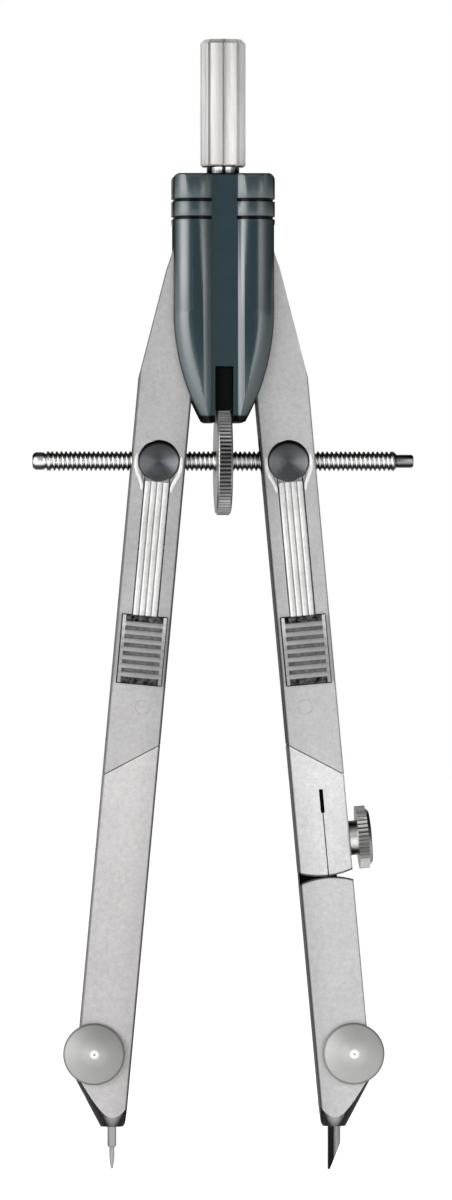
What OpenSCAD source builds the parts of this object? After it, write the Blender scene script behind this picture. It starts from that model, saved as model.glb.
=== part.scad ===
// Bow compass with quick-release half nuts, jointed legs, a needle leg and a plug-in lead insert.
// X runs to the right, Y away from the front, Z up. Both points rest on Z = 0, the same way from X = 0.

/* [Legs] */
// Angle of each leg from upright, as drawn, in degrees
splay = 5.2; // [4:0.1:8]
// How far each leg opens further, in degrees
open_limit = 21; // [15:1:22]
// How far each leg closes, in degrees
close_limit = 5; // [2:0.5:6]
// Distance between the two leg pivots
pivot_spread = 6; // [5.6:0.1:7]
// Pivot to point, along the leg
leg_reach = 143.2; // [136:0.1:160]
// Leg width, seen from the front
leg_w = 8.2; // [7.8:0.1:9.4]
// Leg thickness, front to back
leg_t = 5; // [4.8:0.1:6]
// How far the inner edge lies inside the pivot
leg_inset = 0.36; // [0.1:0.02:0.6]
// Radius of the leg's head round its pivot
leg_head_r = 3.7; // [3.5:0.1:4]
// Pivot down to the bend of the outer edge
taper_drop = 22.5; // [18:0.5:27]
// Width from the pivot to the outer edge at the shoulder
shoulder_w = 5.1; // [4.6:0.1:5.6]
// Pivot down to the shoulder
shoulder_drop = 5.7; // [5.2:0.1:7]
// Teeth round a full circle of the leg gears
gear_teeth = 16; // [14:2:18]
// Diameter of the pivot pins
pivot_pin_d = 2; // [1.6:0.1:2.6]

/* [Head] */
// Side wall of the cover
side_wall = 0.95; // [0.8:0.05:1.4]
// Wall of the cover behind the flat strip
strip_wall = 1.35; // [1:0.05:1.8]
// How far the round columns stand proud of the strip
column_rise = 0.95; // [0.6:0.05:1.3]
// Radius of the round columns
column_r = 3.4; // [2.8:0.1:3.8]
// Pivot up to the top of the cover
cover_rise = 9.4; // [8.8:0.1:11]
// Pivot down to the lower edge of the cover
cover_drop = 28.6; // [26:0.1:29]
// Pivot down to where the cover starts to taper
cover_taper_drop = 11.5; // [9:0.5:14]
// Radius of the tapering sides
cover_taper_r = 35; // [30:1:45]
// Roof of the cover
roof = 1.3; // [1:0.1:1.8]
// Rounding of the cover's top edges
cover_edge_r = 1.2; // [0.6:0.1:1.6]
// Rounding of the cover's lower edges
cover_toe_r = 1.4; // [0.8:0.1:1.8]
// Width of the two decorative grooves
groove_w = 0.45; // [0.3:0.05:0.6]
// Depth of the two decorative grooves
groove_depth = 0.3; // [0.2:0.05:0.4]
// Pivot up to the lower groove
groove_rise = 2.4; // [2:0.1:3]
// Spacing of the two grooves
groove_pitch = 2.7; // [2.2:0.1:3]
// Thickness of the yoke's cheeks
cheek_t = 0.95; // [0.8:0.05:1.1]
// Radius of the cheeks round the pivots
cheek_r = 2.6; // [2.2:0.1:2.8]

/* [Handle] */
// Handle diameter
handle_d = 6.9; // [6:0.1:9]
// Handle length above its neck
handle_l = 19.5; // [16:0.5:26]
// Number of grip lines
grip_lines = 9; // [6:1:14]
// Width of a grip line
grip_line_w = 0.3; // [0.2:0.05:0.5]
// Chamfer at the ends of the handle
handle_chamfer = 0.65; // [0.3:0.05:1]
// Neck diameter
neck_d = 5; // [4:0.1:5.8]
// Neck length
neck_l = 1; // [0.6:0.1:2]
// Diameter of the stud that holds the handle
stud_d = 2.5; // [2:0.1:3]
// Depth of the stud in the handle
stud_depth = 6; // [4:0.5:9]

/* [Spindle] */
// Pivot down to the spindle
spindle_drop = 34.9; // [34:0.1:38]
// Spindle length
spindle_l = 58.2; // [54:0.1:62]
// Outer diameter of the thread
spindle_d = 3; // [2.8:0.05:3.1]
// Thread pitch
thread_pitch = 0.7; // [0.6:0.05:0.9]
// Thread depth
thread_depth = 0.38; // [0.25:0.01:0.42]
// Length of the button and the dog point at its ends
spindle_end_l = 2; // [1.5:0.1:2.6]
// Diameter of the button
button_d = 2.7; // [2.4:0.1:2.9]
// Diameter of the dog point
dog_d = 2; // [1.6:0.1:2.2]
// Wheel diameter
wheel_d = 16.5; // [14:0.1:17.5]
// Wheel thickness
wheel_t = 2.3; // [2.1:0.1:2.8]
// Width of the knurled band
knurl_w = 1.8; // [1:0.1:2]
// Depth of the knurl
knurl_depth = 0.3; // [0.15:0.05:0.4]
// Number of knurls round the wheel
knurls = 80; // [60:2:90]
// Room beside the wheel in the cover's slot
wheel_side_gap = 0.25; // [0.2:0.05:0.5]
// Room above the wheel at the widest opening
wheel_top_gap = 1.4; // [0.6:0.1:3]

/* [Quick release] */
// Diameter of the swivelling bush in the leg
bush_d = 6.3; // [6:0.1:6.5]
// Thickness of the half nut's round head
nut_head_t = 0.7; // [0.5:0.05:0.75]
// Depth of the dish in that head
dish_depth = 0.55; // [0.3:0.05:0.6]
// Wall of the half nut's stem beside the spindle
stem_wall = 0.45; // [0.35:0.05:0.55]
// Width of the lever's arm
arm_w = 3.7; // [3:0.1:4]
// Number of flutes along the arm
arm_flutes = 4; // [3:1:5]
// Thickness of the lifting tongue
tongue_t = 0.55; // [0.4:0.05:0.6]
// Spindle down to the lever's pin
lever_throw = 13.1; // [11:0.1:15]
// Diameter of the lever's pin
lever_pin_d = 1.2; // [1:0.1:1.3]
// How far the lever rocks, in degrees
press_angle = 3; // [2:0.5:3.5]
// Lever's pin down to the top of the pad
arm_l = 10.7; // [9.5:0.1:12]
// Pad length
pad_l = 10.3; // [9:0.1:10.4]
// Leg left beside the pad
pad_margin = 0.75; // [0.6:0.05:1]
// How far the pad stands proud of the leg
pad_proud = 0.45; // [0.2:0.05:0.8]
// Number of ribs on the pad
pad_ribs = 7; // [5:1:9]
// Height of a rib
rib_h = 0.42; // [0.3:0.02:0.5]
// Wire of the lever's spring
spring_wire = 0.35; // [0.3:0.05:0.4]
// Outer diameter of the lever's spring
spring_d = 2.4; // [2:0.1:2.8]
// Coils of the lever's spring
spring_coils = 3; // [2:0.5:3]

/* [Knees] */
// Metal between the pad's pocket and the knee's slot
knee_wall = 0.6; // [0.5:0.05:1.5]
// How far the knee pin lies inside the leg's middle
knee_in = 0.9; // [0.6:0.1:1.2]
// Diameter of the knee pin
knee_pin_d = 2.2; // [1.8:0.1:2.6]
// Radius of the tongue round the knee pin
knee_head_r = 2.6; // [2.2:0.1:2.7]
// Thickness of the knee's tongue
knee_tongue_t = 1.9; // [1.6:0.1:2.2]
// Knee pin down to the seam on the inner edge
seam_in = 5.4; // [4.8:0.1:6]
// Knee pin down to the seam on the outer edge
seam_out = 10.7; // [9.8:0.1:11.6]

/* [Lower legs] */
// Distance of the point outside the pivot, across the leg
point_out = 1; // [0.6:0.1:1.6]
// Lean of the point towards upright, in degrees
point_cant = 5.2; // [4:0.1:7]
// Point up to the end of the leg
nose_rise = 6.6; // [5.5:0.1:8]
// Radius of the leg's turned nose at its end
nose_r = 1.75; // [1.6:0.05:2]
// Half angle of the turned nose, in degrees
nose_angle = 28; // [22:1:34]
// Width of the clamping slits
slit_w = 0.3; // [0.2:0.05:0.4]
// Length of the clamping slit above the clamp screw
slit_rise = 10; // [6:0.5:11]
// Point up to the clamp screw
clamp_rise = 17.4; // [15:0.1:20]
// How far the clamp screw lies outside the leg's middle
clamp_out = 1.7; // [1.4:0.1:2]
// Diameter of the clamp screw's domed head
clamp_head_d = 9.4; // [8:0.1:10]
// Height of the domed head
clamp_head_h = 1.9; // [1.4:0.1:2.4]
// Height of the straight rim under the dome
clamp_rim_h = 0.5; // [0.3:0.05:0.7]
// Diameter of the clamp screws
clamp_screw_d = 2.5; // [2:0.1:2.6]
// Thumb screw down to the end of the socket
socket_lip = 5.4; // [4.6:0.1:7]
// How far the ends at the socket are arched
socket_arch = 0.7; // [0.4:0.05:1]
// Diameter of the insert's shank
shank_d = 3.6; // [3:0.1:3.8]
// Metal between the knee seam and the socket
socket_roof = 2.15; // [1.6:0.05:4]
// Knee seam down to the top of the socket's slot
slot_below = 2; // [1.6:0.1:4]
// Length of the wide part of that slot
slot_l = 3.6; // [2.5:0.1:4.2]
// Width of the wide part of that slot
slot_w = 0.6; // [0.4:0.05:0.8]
// How far the slot lies outside the leg's middle
slot_out = 0.36; // [0.1:0.02:0.6]
// Slot down to the thumb screw
thumb_below = 4.3; // [3:0.1:6]
// Diameter of the thumb screw's knob
thumb_d = 9.6; // [8:0.1:11]
// Thickness of that knob
thumb_t = 2.05; // [1.6:0.05:2.6]
// Diameter of its collar
collar_d = 5.3; // [4:0.1:5.8]
// Length of its collar
collar_l = 1.2; // [0.8:0.1:2]
// Diameter of its thread
thumb_screw_d = 2; // [1.6:0.1:2.4]
// Number of knurls round the knob
thumb_knurls = 44; // [30:2:56]

/* [Points] */
// Needle diameter
needle_d = 1.4; // [1.2:0.1:1.6]
// Needle length
needle_l = 24; // [22:0.5:26]
// Length of the needle's thin point
needle_point_l = 3.4; // [2:0.1:5]
// Diameter of the needle's thin point at its shoulder
needle_point_d = 0.8; // [0.5:0.05:0.9]
// Length of the taper at its tip
needle_taper_l = 1.8; // [1:0.1:1.9]
// Lead diameter
lead_d = 2; // [1.8:0.1:2.2]
// Lead length
lead_l = 24; // [22:0.5:26]
// Angle of the lead's bevel from its axis, in degrees
bevel_angle = 22; // [15:1:30]
// Blunt width of the lead's tip
lead_tip_w = 0.3; // [0.2:0.05:0.6]
// Travel of the needle and the lead, each way
point_travel = 3; // [2:0.5:3]

/* [Fits] */
// Gap of pins and screws that are held tight
tight_gap = 0.01; // [0.01:0.005:0.03]
// Gap round turning and sliding pieces
run_gap = 0.05; // [0.03:0.01:0.08]
// Gap at the knee seam
seam_gap = 0.15; // [0.1:0.05:0.25]
// Gap between the wheel and the felt
felt_gap = 0.1; // [0.05:0.05:0.3]
// Gap between the legs and the cover
leg_gap = 0.2; // [0.15:0.05:0.3]
// Gap round the lever in its pocket
lever_gap = 0.15; // [0.1:0.05:0.2]

/* [Hidden] */
$fn = 64;
LEFT = -1;
RIGHT = 1;
// Overlap of cutting shapes past the faces they cut
cut = 1;

// Places across and along the leg, from its pivot
pivot_x = pivot_spread / 2;
pivot_z = leg_reach * cos(splay) - point_out * sin(splay);
leg_mid = leg_w / 2 - leg_inset;
leg_out = leg_w - leg_inset;
front = -leg_t / 2;
back = leg_t / 2;
knee_x = leg_mid - knee_in;
clamp_x = leg_mid + clamp_out;
clamp_z = clamp_rise - leg_reach;
slot_x = leg_mid + slot_out;
spindle_z = pivot_z + leg_mid * sin(splay) - spindle_drop * cos(splay);
// Angles of the leg from upright when closed and when open
shut_angle = splay - close_limit;
wide_angle = splay + open_limit;

// Cover, inside and outside
inside_y = leg_t / 2 + leg_gap;
inside_x = pivot_x + leg_head_r + leg_gap;
cover_x = inside_x + side_wall;
strip_y = inside_y + strip_wall;
cover_y = strip_y + column_rise;
column_x = cover_x - column_r;
column_y = cover_y - column_r;
cover_top = pivot_z + cover_rise;
cover_foot = pivot_z - cover_drop;
taper_z = pivot_z - cover_taper_drop;
taper_x = cover_x - cover_taper_r;
disc_ease = 0.02;
// The side slots let the leg's shoulder out at the widest opening
side_slot_z = pivot_z + leg_head_r * sin(wide_angle);
slot_half = wheel_t / 2 + wheel_side_gap;
wide_spindle_z = pivot_z + leg_mid * sin(wide_angle) - spindle_drop * cos(wide_angle);
wheel_slot_z = wide_spindle_z + wheel_d / 2 + wheel_top_gap;

// Yoke between the leg heads and the roof
tongue_y = leg_t / 2 - cheek_t - run_gap;
tongue_step_r = cheek_r + 2;
yoke_top = cover_top - roof;
yoke_foot = pivot_z + leg_head_r + leg_gap * 2;
yoke_x = inside_x - leg_gap / 2;

// Leg gears
gear_step = 360 / gear_teeth;
tooth_h = 0.25;
tooth_root = 0.3;
tooth_w = 0.2;

// Half nut, bush and lever, front to back
spindle_r = spindle_d / 2;
hole_r = spindle_r + 2 * run_gap;
bush_r = bush_d / 2;
nut_head_r = bush_r - run_gap;
stem_r = spindle_r + stem_wall;
nut_under = front + nut_head_t;
lift_front = nut_under + 2 * run_gap;
lift_back = lift_front + tongue_t;
bush_front = lift_back + lever_gap;
lift_top = -spindle_drop - hole_r / cos(wide_angle) - arm_w / 2 * tan(wide_angle) + 3 * run_gap;
arm_top = -spindle_drop - nut_head_r - lever_gap;
arm_back = lift_back;
arm_front = front + lever_gap;
flute_pitch = arm_w / arm_flutes;
lever_pin_y = lift_back - lever_pin_d / 4;
lever_pin_drop = spindle_drop + lever_throw;
pad_drop = lever_pin_drop + arm_l;
lever_hub_r = lever_pin_d / 2 + 0.55;
pad_w = leg_w - 2 * pad_margin;
pad_front = front - pad_proud;
rib_pitch = pad_l / (pad_ribs + 1);
pad_foot = -pad_drop - pad_l;
// Width and height of the rail down each side of the pad
rail_w = pad_margin * 0.65;
rail_h = rib_h * 0.7;
press_depth = (pad_drop + pad_l - lever_pin_drop) * sin(press_angle);
pocket_floor = arm_back + press_depth + lever_gap;
spring_z = pad_foot + spring_d;
spring_hole_r = spring_d / 2 + lever_gap;
spring_floor = back - 0.8;

// Knee
knee_drop = pad_drop + pad_l + lever_gap + knee_wall + seam_gap + knee_head_r;
seam_in_drop = knee_drop + seam_in;
seam_out_drop = knee_drop + seam_out;
knee_slot_t = knee_tongue_t + 2 * run_gap;
knee_slot_top = -knee_drop + knee_head_r + seam_gap;

// Lower legs
slot_drop = seam_out_drop + slot_below;
thumb_drop = slot_drop + slot_l + thumb_below;
socket_drop = thumb_drop + socket_lip;
shank_l = socket_drop - seam_out_drop - socket_roof - lever_gap;
arch_r = (pow(leg_w / 2, 2) + pow(socket_arch, 2)) / (2 * socket_arch);
insert_drop = socket_drop + seam_gap;
// Depth of the locating lug's faces behind the legs' faces
lug_in = socket_arch / 2;
nose_reach = 40;
nose_top = nose_rise + (nose_reach - nose_r) / tan(nose_angle);
thumb_seat = leg_out + run_gap;

// Shared shapes

// Carries a leg-frame shape to the left or right leg
module on_leg(side) {
    mirror([side == LEFT ? 1 : 0, 0, 0])
        translate([pivot_x, 0, pivot_z])
            rotate([0, -splay, 0])
                children();
}

// A front-view outline made solid between two depths
module slab(y0, y1) {
    translate([0, y1, 0])
        rotate([90, 0, 0])
            linear_extrude(y1 - y0)
                children();
}

// A round bar from front to back
module bar_y(r, y0, y1) {
    translate([0, y0, 0])
        rotate([-90, 0, 0])
            cylinder(r = r, h = y1 - y0);
}

// A round bar from left to right
module bar_x(r, x0, x1) {
    translate([x0, 0, 0])
        rotate([0, 90, 0])
            cylinder(r = r, h = x1 - x0);
}

// The leg-frame place of the point, with its axis up
module at_point() {
    translate([point_out, 0, -leg_reach])
        rotate([0, point_cant, 0])
            children();
}

// A round outline with pointed knurls
module knurled_disc(r, count, depth) {
    polygon([
        for (i = [0 : 2 * count - 1])
            (r - (i % 2) * depth) * [cos(180 * i / count), sin(180 * i / count)]
    ]);
}

// Handle and head

module handle() {
    line_r = grip_line_w / 2;
    color("lightgray")
        translate([0, 0, cover_top])
            difference() {
                rotate_extrude()
                    polygon([
                        [0, 0], [neck_d / 2, 0], [neck_d / 2, neck_l],
                        [handle_d / 2 - handle_chamfer / 2, neck_l],
                        [handle_d / 2, neck_l + handle_chamfer / 2],
                        [handle_d / 2, neck_l + handle_l - handle_chamfer],
                        [handle_d / 2 - handle_chamfer, neck_l + handle_l],
                        [0, neck_l + handle_l]
                    ]);
                for (i = [0 : grip_lines - 1])
                    rotate([0, 0, 360 / grip_lines * i - 90])
                        translate([handle_d / 2, 0, neck_l - cut])
                            cylinder(r = line_r, h = handle_l + 2 * cut);
                translate([0, 0, -cut])
                    cylinder(d = stud_d + 2 * tight_gap, h = stud_depth + cut);
            }
}

module handle_stud() {
    color("gray")
        translate([0, 0, yoke_foot])
            cylinder(d = stud_d, h = cover_top + stud_depth - yoke_foot);
}

// Plan section of the cover, with the columns drawn in by a groove's depth
module cover_section(drawn_in) {
    r = column_r - drawn_in;
    square([2 * cover_x - 2 * drawn_in, 2 * column_y], center = true);
    square([2 * column_x, 2 * strip_y], center = true);
    for (x = [-column_x, column_x])
        for (y = [-column_y, column_y])
            translate([x, y])
                circle(r);
}

// Rounded disc whose rim is one tapering side of the cover, a hair thicker than the columns
module taper_disc() {
    inner = cover_taper_r - column_r;
    rim_y = column_y + disc_ease;
    rotate([90, 0, 0])
        rotate_extrude($fn = 180) {
            translate([0, -rim_y - column_r])
                square([inner, 2 * rim_y + 2 * column_r]);
            translate([0, -rim_y])
                square([cover_taper_r, 2 * rim_y]);
            for (y = [-rim_y, rim_y])
                translate([inner, y])
                    circle(column_r);
        }
}

// Tapering lower half of the cover
module cover_skirt() {
    intersection() {
        translate([0, 0, cover_foot])
            linear_extrude(taper_z - cover_foot) {
                cover_section(0);
                for (x = [-column_x - column_r, column_x])
                    translate([x, -cover_y])
                        square([column_r, 2 * cover_y]);
            }
        translate([taper_x, 0, taper_z])
            taper_disc();
        translate([-taper_x, 0, taper_z])
            taper_disc();
    }
}

// Outline with rounded top and lower corners, as seen from the front
module cover_outline() {
    toe_z = cover_foot + cover_toe_r;
    toe_reach = cover_taper_r - cover_toe_r;
    toe_x = sqrt(pow(toe_reach, 2) - pow(taper_z - toe_z, 2)) + taper_x;
    toe_top = toe_z - cover_toe_r * (taper_z - toe_z) / toe_reach;
    edge_x = cover_x - cover_edge_r;
    translate([-cover_x, toe_top])
        square([2 * cover_x, cover_top - cover_edge_r - toe_top]);
    translate([-edge_x, toe_top])
        square([2 * edge_x, cover_top - toe_top]);
    translate([-toe_x, cover_foot])
        square([2 * toe_x, cover_toe_r]);
    for (side = [-1, 1]) {
        translate([side * edge_x, cover_top - cover_edge_r])
            circle(cover_edge_r);
        translate([side * toe_x, toe_z])
            circle(cover_toe_r);
    }
}

// Outline with rounded corners, as seen from the side
module cover_profile() {
    edge_y = cover_y - cover_edge_r;
    toe_y = cover_y - cover_toe_r;
    translate([-cover_y, cover_foot + cover_toe_r])
        square([2 * cover_y, cover_rise + cover_drop - cover_edge_r - cover_toe_r]);
    translate([-edge_y, cover_top - 2 * cover_edge_r])
        square([2 * edge_y, 2 * cover_edge_r]);
    translate([-toe_y, cover_foot])
        square([2 * toe_y, 2 * cover_toe_r]);
    for (side = [-1, 1]) {
        translate([side * edge_y, cover_top - cover_edge_r])
            circle(cover_edge_r);
        translate([side * toe_y, cover_foot + cover_toe_r])
            circle(cover_toe_r);
    }
}

module head_cover() {
    color("darkslategray")
        difference() {
            intersection() {
                union() {
                    cover_skirt();
                    translate([0, 0, taper_z])
                        linear_extrude(cover_top - taper_z)
                            cover_section(0);
                }
                slab(-cover_y - cut, cover_y + cut)
                    cover_outline();
                rotate([0, 0, 90])
                    slab(-cover_x - cut, cover_x + cut)
                        cover_profile();
            }
            // Room for the yoke and the leg heads
            translate([-inside_x, -inside_y, cover_foot - cut])
                cube([2 * inside_x, 2 * inside_y, yoke_top - cover_foot + cut]);
            // Side slots for the legs
            translate([-cover_x - cut, -inside_y, cover_foot - cut])
                cube([2 * cover_x + 2 * cut, 2 * inside_y, side_slot_z - cover_foot + cut]);
            // Slot for the wheel
            translate([-slot_half, -cover_y - cut, cover_foot - cut])
                cube([2 * slot_half, 2 * cover_y + 2 * cut, wheel_slot_z - cover_foot + cut]);
            // Hole for the stud
            translate([0, 0, yoke_top - cut])
                cylinder(d = stud_d + 2 * run_gap, h = roof + 2 * cut);
            // Grooves round the columns
            for (i = [0, 1])
                translate([0, 0, pivot_z + groove_rise + groove_pitch * i])
                    linear_extrude(groove_w)
                        difference() {
                            square([2 * cover_x + cut, 2 * cover_y + cut], center = true);
                            cover_section(groove_depth);
                        }
        }
}

module yoke() {
    cheek_x = pivot_x + cheek_r;
    color("gray")
        difference() {
            union() {
                translate([-yoke_x, front, yoke_foot])
                    cube([2 * yoke_x, leg_t, yoke_top - yoke_foot]);
                for (y = [front, back - cheek_t]) {
                    translate([-cheek_x, y, pivot_z])
                        cube([2 * cheek_x, cheek_t, yoke_foot - pivot_z + run_gap]);
                    for (side = [LEFT, RIGHT])
                        translate([side * pivot_x, 0, pivot_z])
                            bar_y(cheek_r, y, y + cheek_t);
                }
            }
            for (side = [LEFT, RIGHT])
                translate([side * pivot_x, 0, pivot_z])
                    bar_y(pivot_pin_d / 2 + tight_gap, front - cut, back + cut);
            translate([0, 0, yoke_foot - cut])
                cylinder(d = stud_d + 2 * tight_gap, h = yoke_top - yoke_foot + 2 * cut);
        }
}

// Soft pad that closes the wheel's slot and keeps the wheel from turning by itself
module slot_felt() {
    half = slot_half - run_gap;
    depth = inside_y + strip_wall / 2;
    color("black")
        difference() {
            translate([-half, -depth, cover_foot + cover_toe_r])
                cube([2 * half, 2 * depth, wheel_slot_z - cover_foot - cover_toe_r]);
            translate([0, 0, spindle_z])
                bar_x(wheel_d / 2 + felt_gap, -wheel_t, wheel_t);
        }
}

module pivot_pin(side) {
    color("silver")
        translate([side * pivot_x, 0, pivot_z])
            bar_y(pivot_pin_d / 2, front, back);
}

module left_pivot_pin() { pivot_pin(LEFT); }
module right_pivot_pin() { pivot_pin(RIGHT); }

// Upper legs

// One straight-sided gear tooth, pointing along +X
module gear_tooth() {
    polygon([
        [pivot_x - 2 * tooth_root, -1.6 * tooth_w], [pivot_x, -tooth_w],
        [pivot_x + tooth_h, -tooth_w / 2], [pivot_x + tooth_h, tooth_w / 2],
        [pivot_x, tooth_w], [pivot_x - 2 * tooth_root, 1.6 * tooth_w]
    ]);
}

// Head of the leg: round outside, geared inside
module leg_head(phase) {
    circle(pivot_x - tooth_h - tooth_root / 2);
    intersection() {
        circle(leg_head_r);
        translate([-leg_inset, -leg_head_r])
            square(2 * leg_head_r);
    }
    for (i = [-2 : 2])
        rotate(180 - splay + gear_step * (i - phase))
            gear_tooth();
}

// Room for the spindle through the leg, over the whole swing
module spindle_passage() {
    far = leg_w;
    near_h = hole_r / cos(shut_angle);
    wide_h = hole_r / cos(wide_angle);
    for (turn = [0, 180])
        rotate(turn)
            polygon([
                [0, near_h], [far, near_h - far * tan(shut_angle)],
                [far, -wide_h - far * tan(wide_angle)], [0, -wide_h]
            ]);
}

// Front recess for the lever's arm, its pad and the dished head
module lever_recess() {
    arm_half = arm_w / 2 + lever_gap;
    funnel_h = bush_r * 0.55;
    translate([leg_mid - arm_half, front - cut, -pad_drop - cut])
        cube([2 * arm_half, pocket_floor - front + cut, pad_drop - spindle_drop + cut]);
    translate([leg_mid - pad_w / 2 - lever_gap, front - cut, pad_foot - lever_gap])
        cube([pad_w + 2 * lever_gap, pocket_floor - front + cut, pad_l + 2 * lever_gap]);
    translate([leg_mid, lever_pin_y, -lever_pin_drop])
        bar_x(lever_hub_r + lever_gap, -arm_half, arm_half);
    slab(front - cut, front + nut_head_t / 2)
        translate([leg_mid, -spindle_drop])
            polygon([
                [-bush_r * 0.83, -funnel_h], [bush_r * 0.83, -funnel_h],
                [arm_half, -bush_r - funnel_h], [-arm_half, -bush_r - funnel_h]
            ]);
}

module upper_leg_solid(phase) {
    difference() {
        union() {
            slab(front, back)
                polygon([
                    [-leg_inset, -seam_in_drop], [-leg_inset, 0], [leg_head_r, 0],
                    [shoulder_w, -shoulder_drop], [leg_out, -taper_drop], [leg_out, -seam_out_drop]
                ]);
            slab(-tongue_y, tongue_y)
                leg_head(phase);
        }
        // Thin tongue between the yoke's cheeks
        for (y = [front - cut, tongue_y])
            bar_y(tongue_step_r, y, y + cheek_t + run_gap + cut);
        bar_y(pivot_pin_d / 2 + run_gap, front - cut, back + cut);
        // Bush, spindle and lever
        translate([leg_mid, 0, -spindle_drop])
            bar_y(bush_r + run_gap, front - cut, back + cut);
        slab(-hole_r, hole_r)
            translate([leg_mid, -spindle_drop])
                spindle_passage();
        lever_recess();
        translate([leg_mid, lever_pin_y, -lever_pin_drop])
            bar_x(lever_pin_d / 2 + tight_gap, -leg_w, leg_w);
        translate([leg_mid, 0, spring_z])
            bar_y(spring_hole_r, arm_back, spring_floor);
        // Fork at the knee
        translate([-leg_inset - cut, -knee_slot_t / 2, -seam_out_drop - cut])
            cube([leg_w + 2 * cut, knee_slot_t, seam_out_drop + cut + knee_slot_top]);
        translate([knee_x, 0, -knee_drop])
            bar_y(knee_pin_d / 2 + tight_gap, front - cut, back + cut);
    }
}

module left_upper_leg() { color("silver") on_leg(LEFT) upper_leg_solid(0.5); }
module right_upper_leg() { color("silver") on_leg(RIGHT) upper_leg_solid(0); }

module lever_pin(side) {
    color("gray")
        on_leg(side)
            translate([0, lever_pin_y, -lever_pin_drop])
                bar_x(lever_pin_d / 2, -leg_inset, leg_out);
}

module left_lever_pin() { lever_pin(LEFT); }
module right_lever_pin() { lever_pin(RIGHT); }

module knee_pin(side) {
    color("gray")
        on_leg(side)
            translate([knee_x, 0, -knee_drop])
                bar_y(knee_pin_d / 2, front, back);
}

module left_knee_pin() { knee_pin(LEFT); }
module right_knee_pin() { knee_pin(RIGHT); }

// Coil spring between the leg and the lever's pad
module lever_spring(side) {
    sides = 6;
    rings = 12;
    mean_r = (spring_d - spring_wire) / 2;
    seat = lever_gap / 5;
    start = arm_back + spring_wire / 2 + seat;
    rise = (spring_floor - spring_wire / 2 - seat - start) / spring_coils;
    count = rings * spring_coils;
    ring_points = [
        for (i = [0 : count])
            let (a = 360 * i / rings, y = start + rise * i / rings)
                for (j = [0 : sides - 1])
                    let (b = 360 * j / sides, r = mean_r + spring_wire / 2 * cos(b))
                        [r * cos(a), y + spring_wire / 2 * sin(b), r * sin(a)]
    ];
    walls = [
        for (i = [0 : count - 1])
            for (j = [0 : sides - 1])
                let (k = (j + 1) % sides, a = i * sides, b = a + sides)
                    each [[a + j, a + k, b + k], [a + j, b + k, b + j]]
    ];
    ends = [
        for (j = [1 : sides - 2])
            each [[0, j + 1, j], [count * sides, count * sides + j, count * sides + j + 1]]
    ];
    color("gray")
        on_leg(side)
            translate([leg_mid, 0, spring_z])
                polyhedron(ring_points, concat(walls, ends));
}

module left_lever_spring() { lever_spring(LEFT); }
module right_lever_spring() { lever_spring(RIGHT); }

// Spindle, bushes and half nuts

// Carries a shape to the spindle's crossing with a leg, level with the spindle
module at_crossing(side) {
    mirror([side == LEFT ? 1 : 0, 0, 0])
        translate([
            pivot_x + leg_mid * cos(splay) + spindle_drop * sin(splay), 0, spindle_z
        ])
            children();
}

module spindle_bush(side) {
    color("gray")
        at_crossing(side)
            difference() {
                bar_y(bush_r, bush_front, back);
                bar_x(hole_r, -bush_d, bush_d);
                bar_y(stem_r + run_gap, bush_front - cut, spindle_r / 2);
            }
}

module left_spindle_bush() { spindle_bush(LEFT); }
module right_spindle_bush() { spindle_bush(RIGHT); }

module half_nut(side) {
    dish_r = nut_head_r - run_gap * 4;
    dish_sphere = (pow(dish_r, 2) + pow(dish_depth, 2)) / (2 * dish_depth);
    color("dimgray")
        at_crossing(side)
            difference() {
                union() {
                    bar_y(nut_head_r, front, nut_under);
                    bar_y(stem_r, front + dish_depth, 0);
                }
                bar_x(spindle_r + run_gap, -bush_d, bush_d);
                translate([0, front + dish_depth - dish_sphere, 0])
                    sphere(dish_sphere, $fn = 120);
            }
}

module left_half_nut() { half_nut(LEFT); }
module right_half_nut() { half_nut(RIGHT); }

// Outline of the rings of thread from one place to another
function thread_rings(x0, x1) = [
    for (i = [0 : floor((x1 - x0) / thread_pitch) - 1])
        each [
            [x0 + thread_pitch * i, spindle_r],
            [x0 + thread_pitch * (i + 0.5), spindle_r - thread_depth]
        ]
];

module spindle() {
    far = spindle_l / 2;
    plain = slot_half + thread_pitch;
    shank = far - spindle_end_l;
    neck_r = button_d / 2 - 0.2;
    ringed = thread_rings(plain, shank - spindle_end_l / 2);
    last = [shank - spindle_end_l / 2, spindle_r];
    button = [
        [shank - spindle_end_l / 2, neck_r], [shank, neck_r], [shank, button_d / 2],
        [far - 0.5, button_d / 2], [far, button_d / 2 - 0.5], [far, 0]
    ];
    dog = [
        [shank - spindle_end_l / 2, dog_d / 2], [far - 0.2, dog_d / 2], [far, dog_d / 2 - 0.2], [far, 0]
    ];
    color("gray")
        translate([0, 0, spindle_z])
            for (side = [LEFT, RIGHT])
                rotate([0, 90 * side, 0])
                    rotate_extrude()
                        polygon([
                            for (p = concat(
                                [[0, 0], [0, spindle_r]], ringed, [last],
                                side == LEFT ? button : dog
                            ))
                                [p[1], p[0]]
                        ]);
}

module adjusting_wheel() {
    r = wheel_d / 2;
    shoulder = (wheel_t - knurl_w) / 2;
    rim_r = r - 0.2 * knurl_depth;
    color("darkgray")
        translate([0, 0, spindle_z])
            rotate([0, 90, 0])
                difference() {
                    union() {
                        translate([0, 0, -knurl_w / 2])
                            linear_extrude(knurl_w)
                                knurled_disc(r, knurls, knurl_depth);
                        translate([0, 0, -wheel_t / 2])
                            cylinder(r1 = rim_r - shoulder, r2 = rim_r, h = shoulder);
                        translate([0, 0, knurl_w / 2])
                            cylinder(r1 = rim_r, r2 = rim_r - shoulder, h = shoulder);
                    }
                    translate([0, 0, -wheel_t])
                        cylinder(r = spindle_r + run_gap, h = 2 * wheel_t);
                }
}

// Release levers

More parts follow.
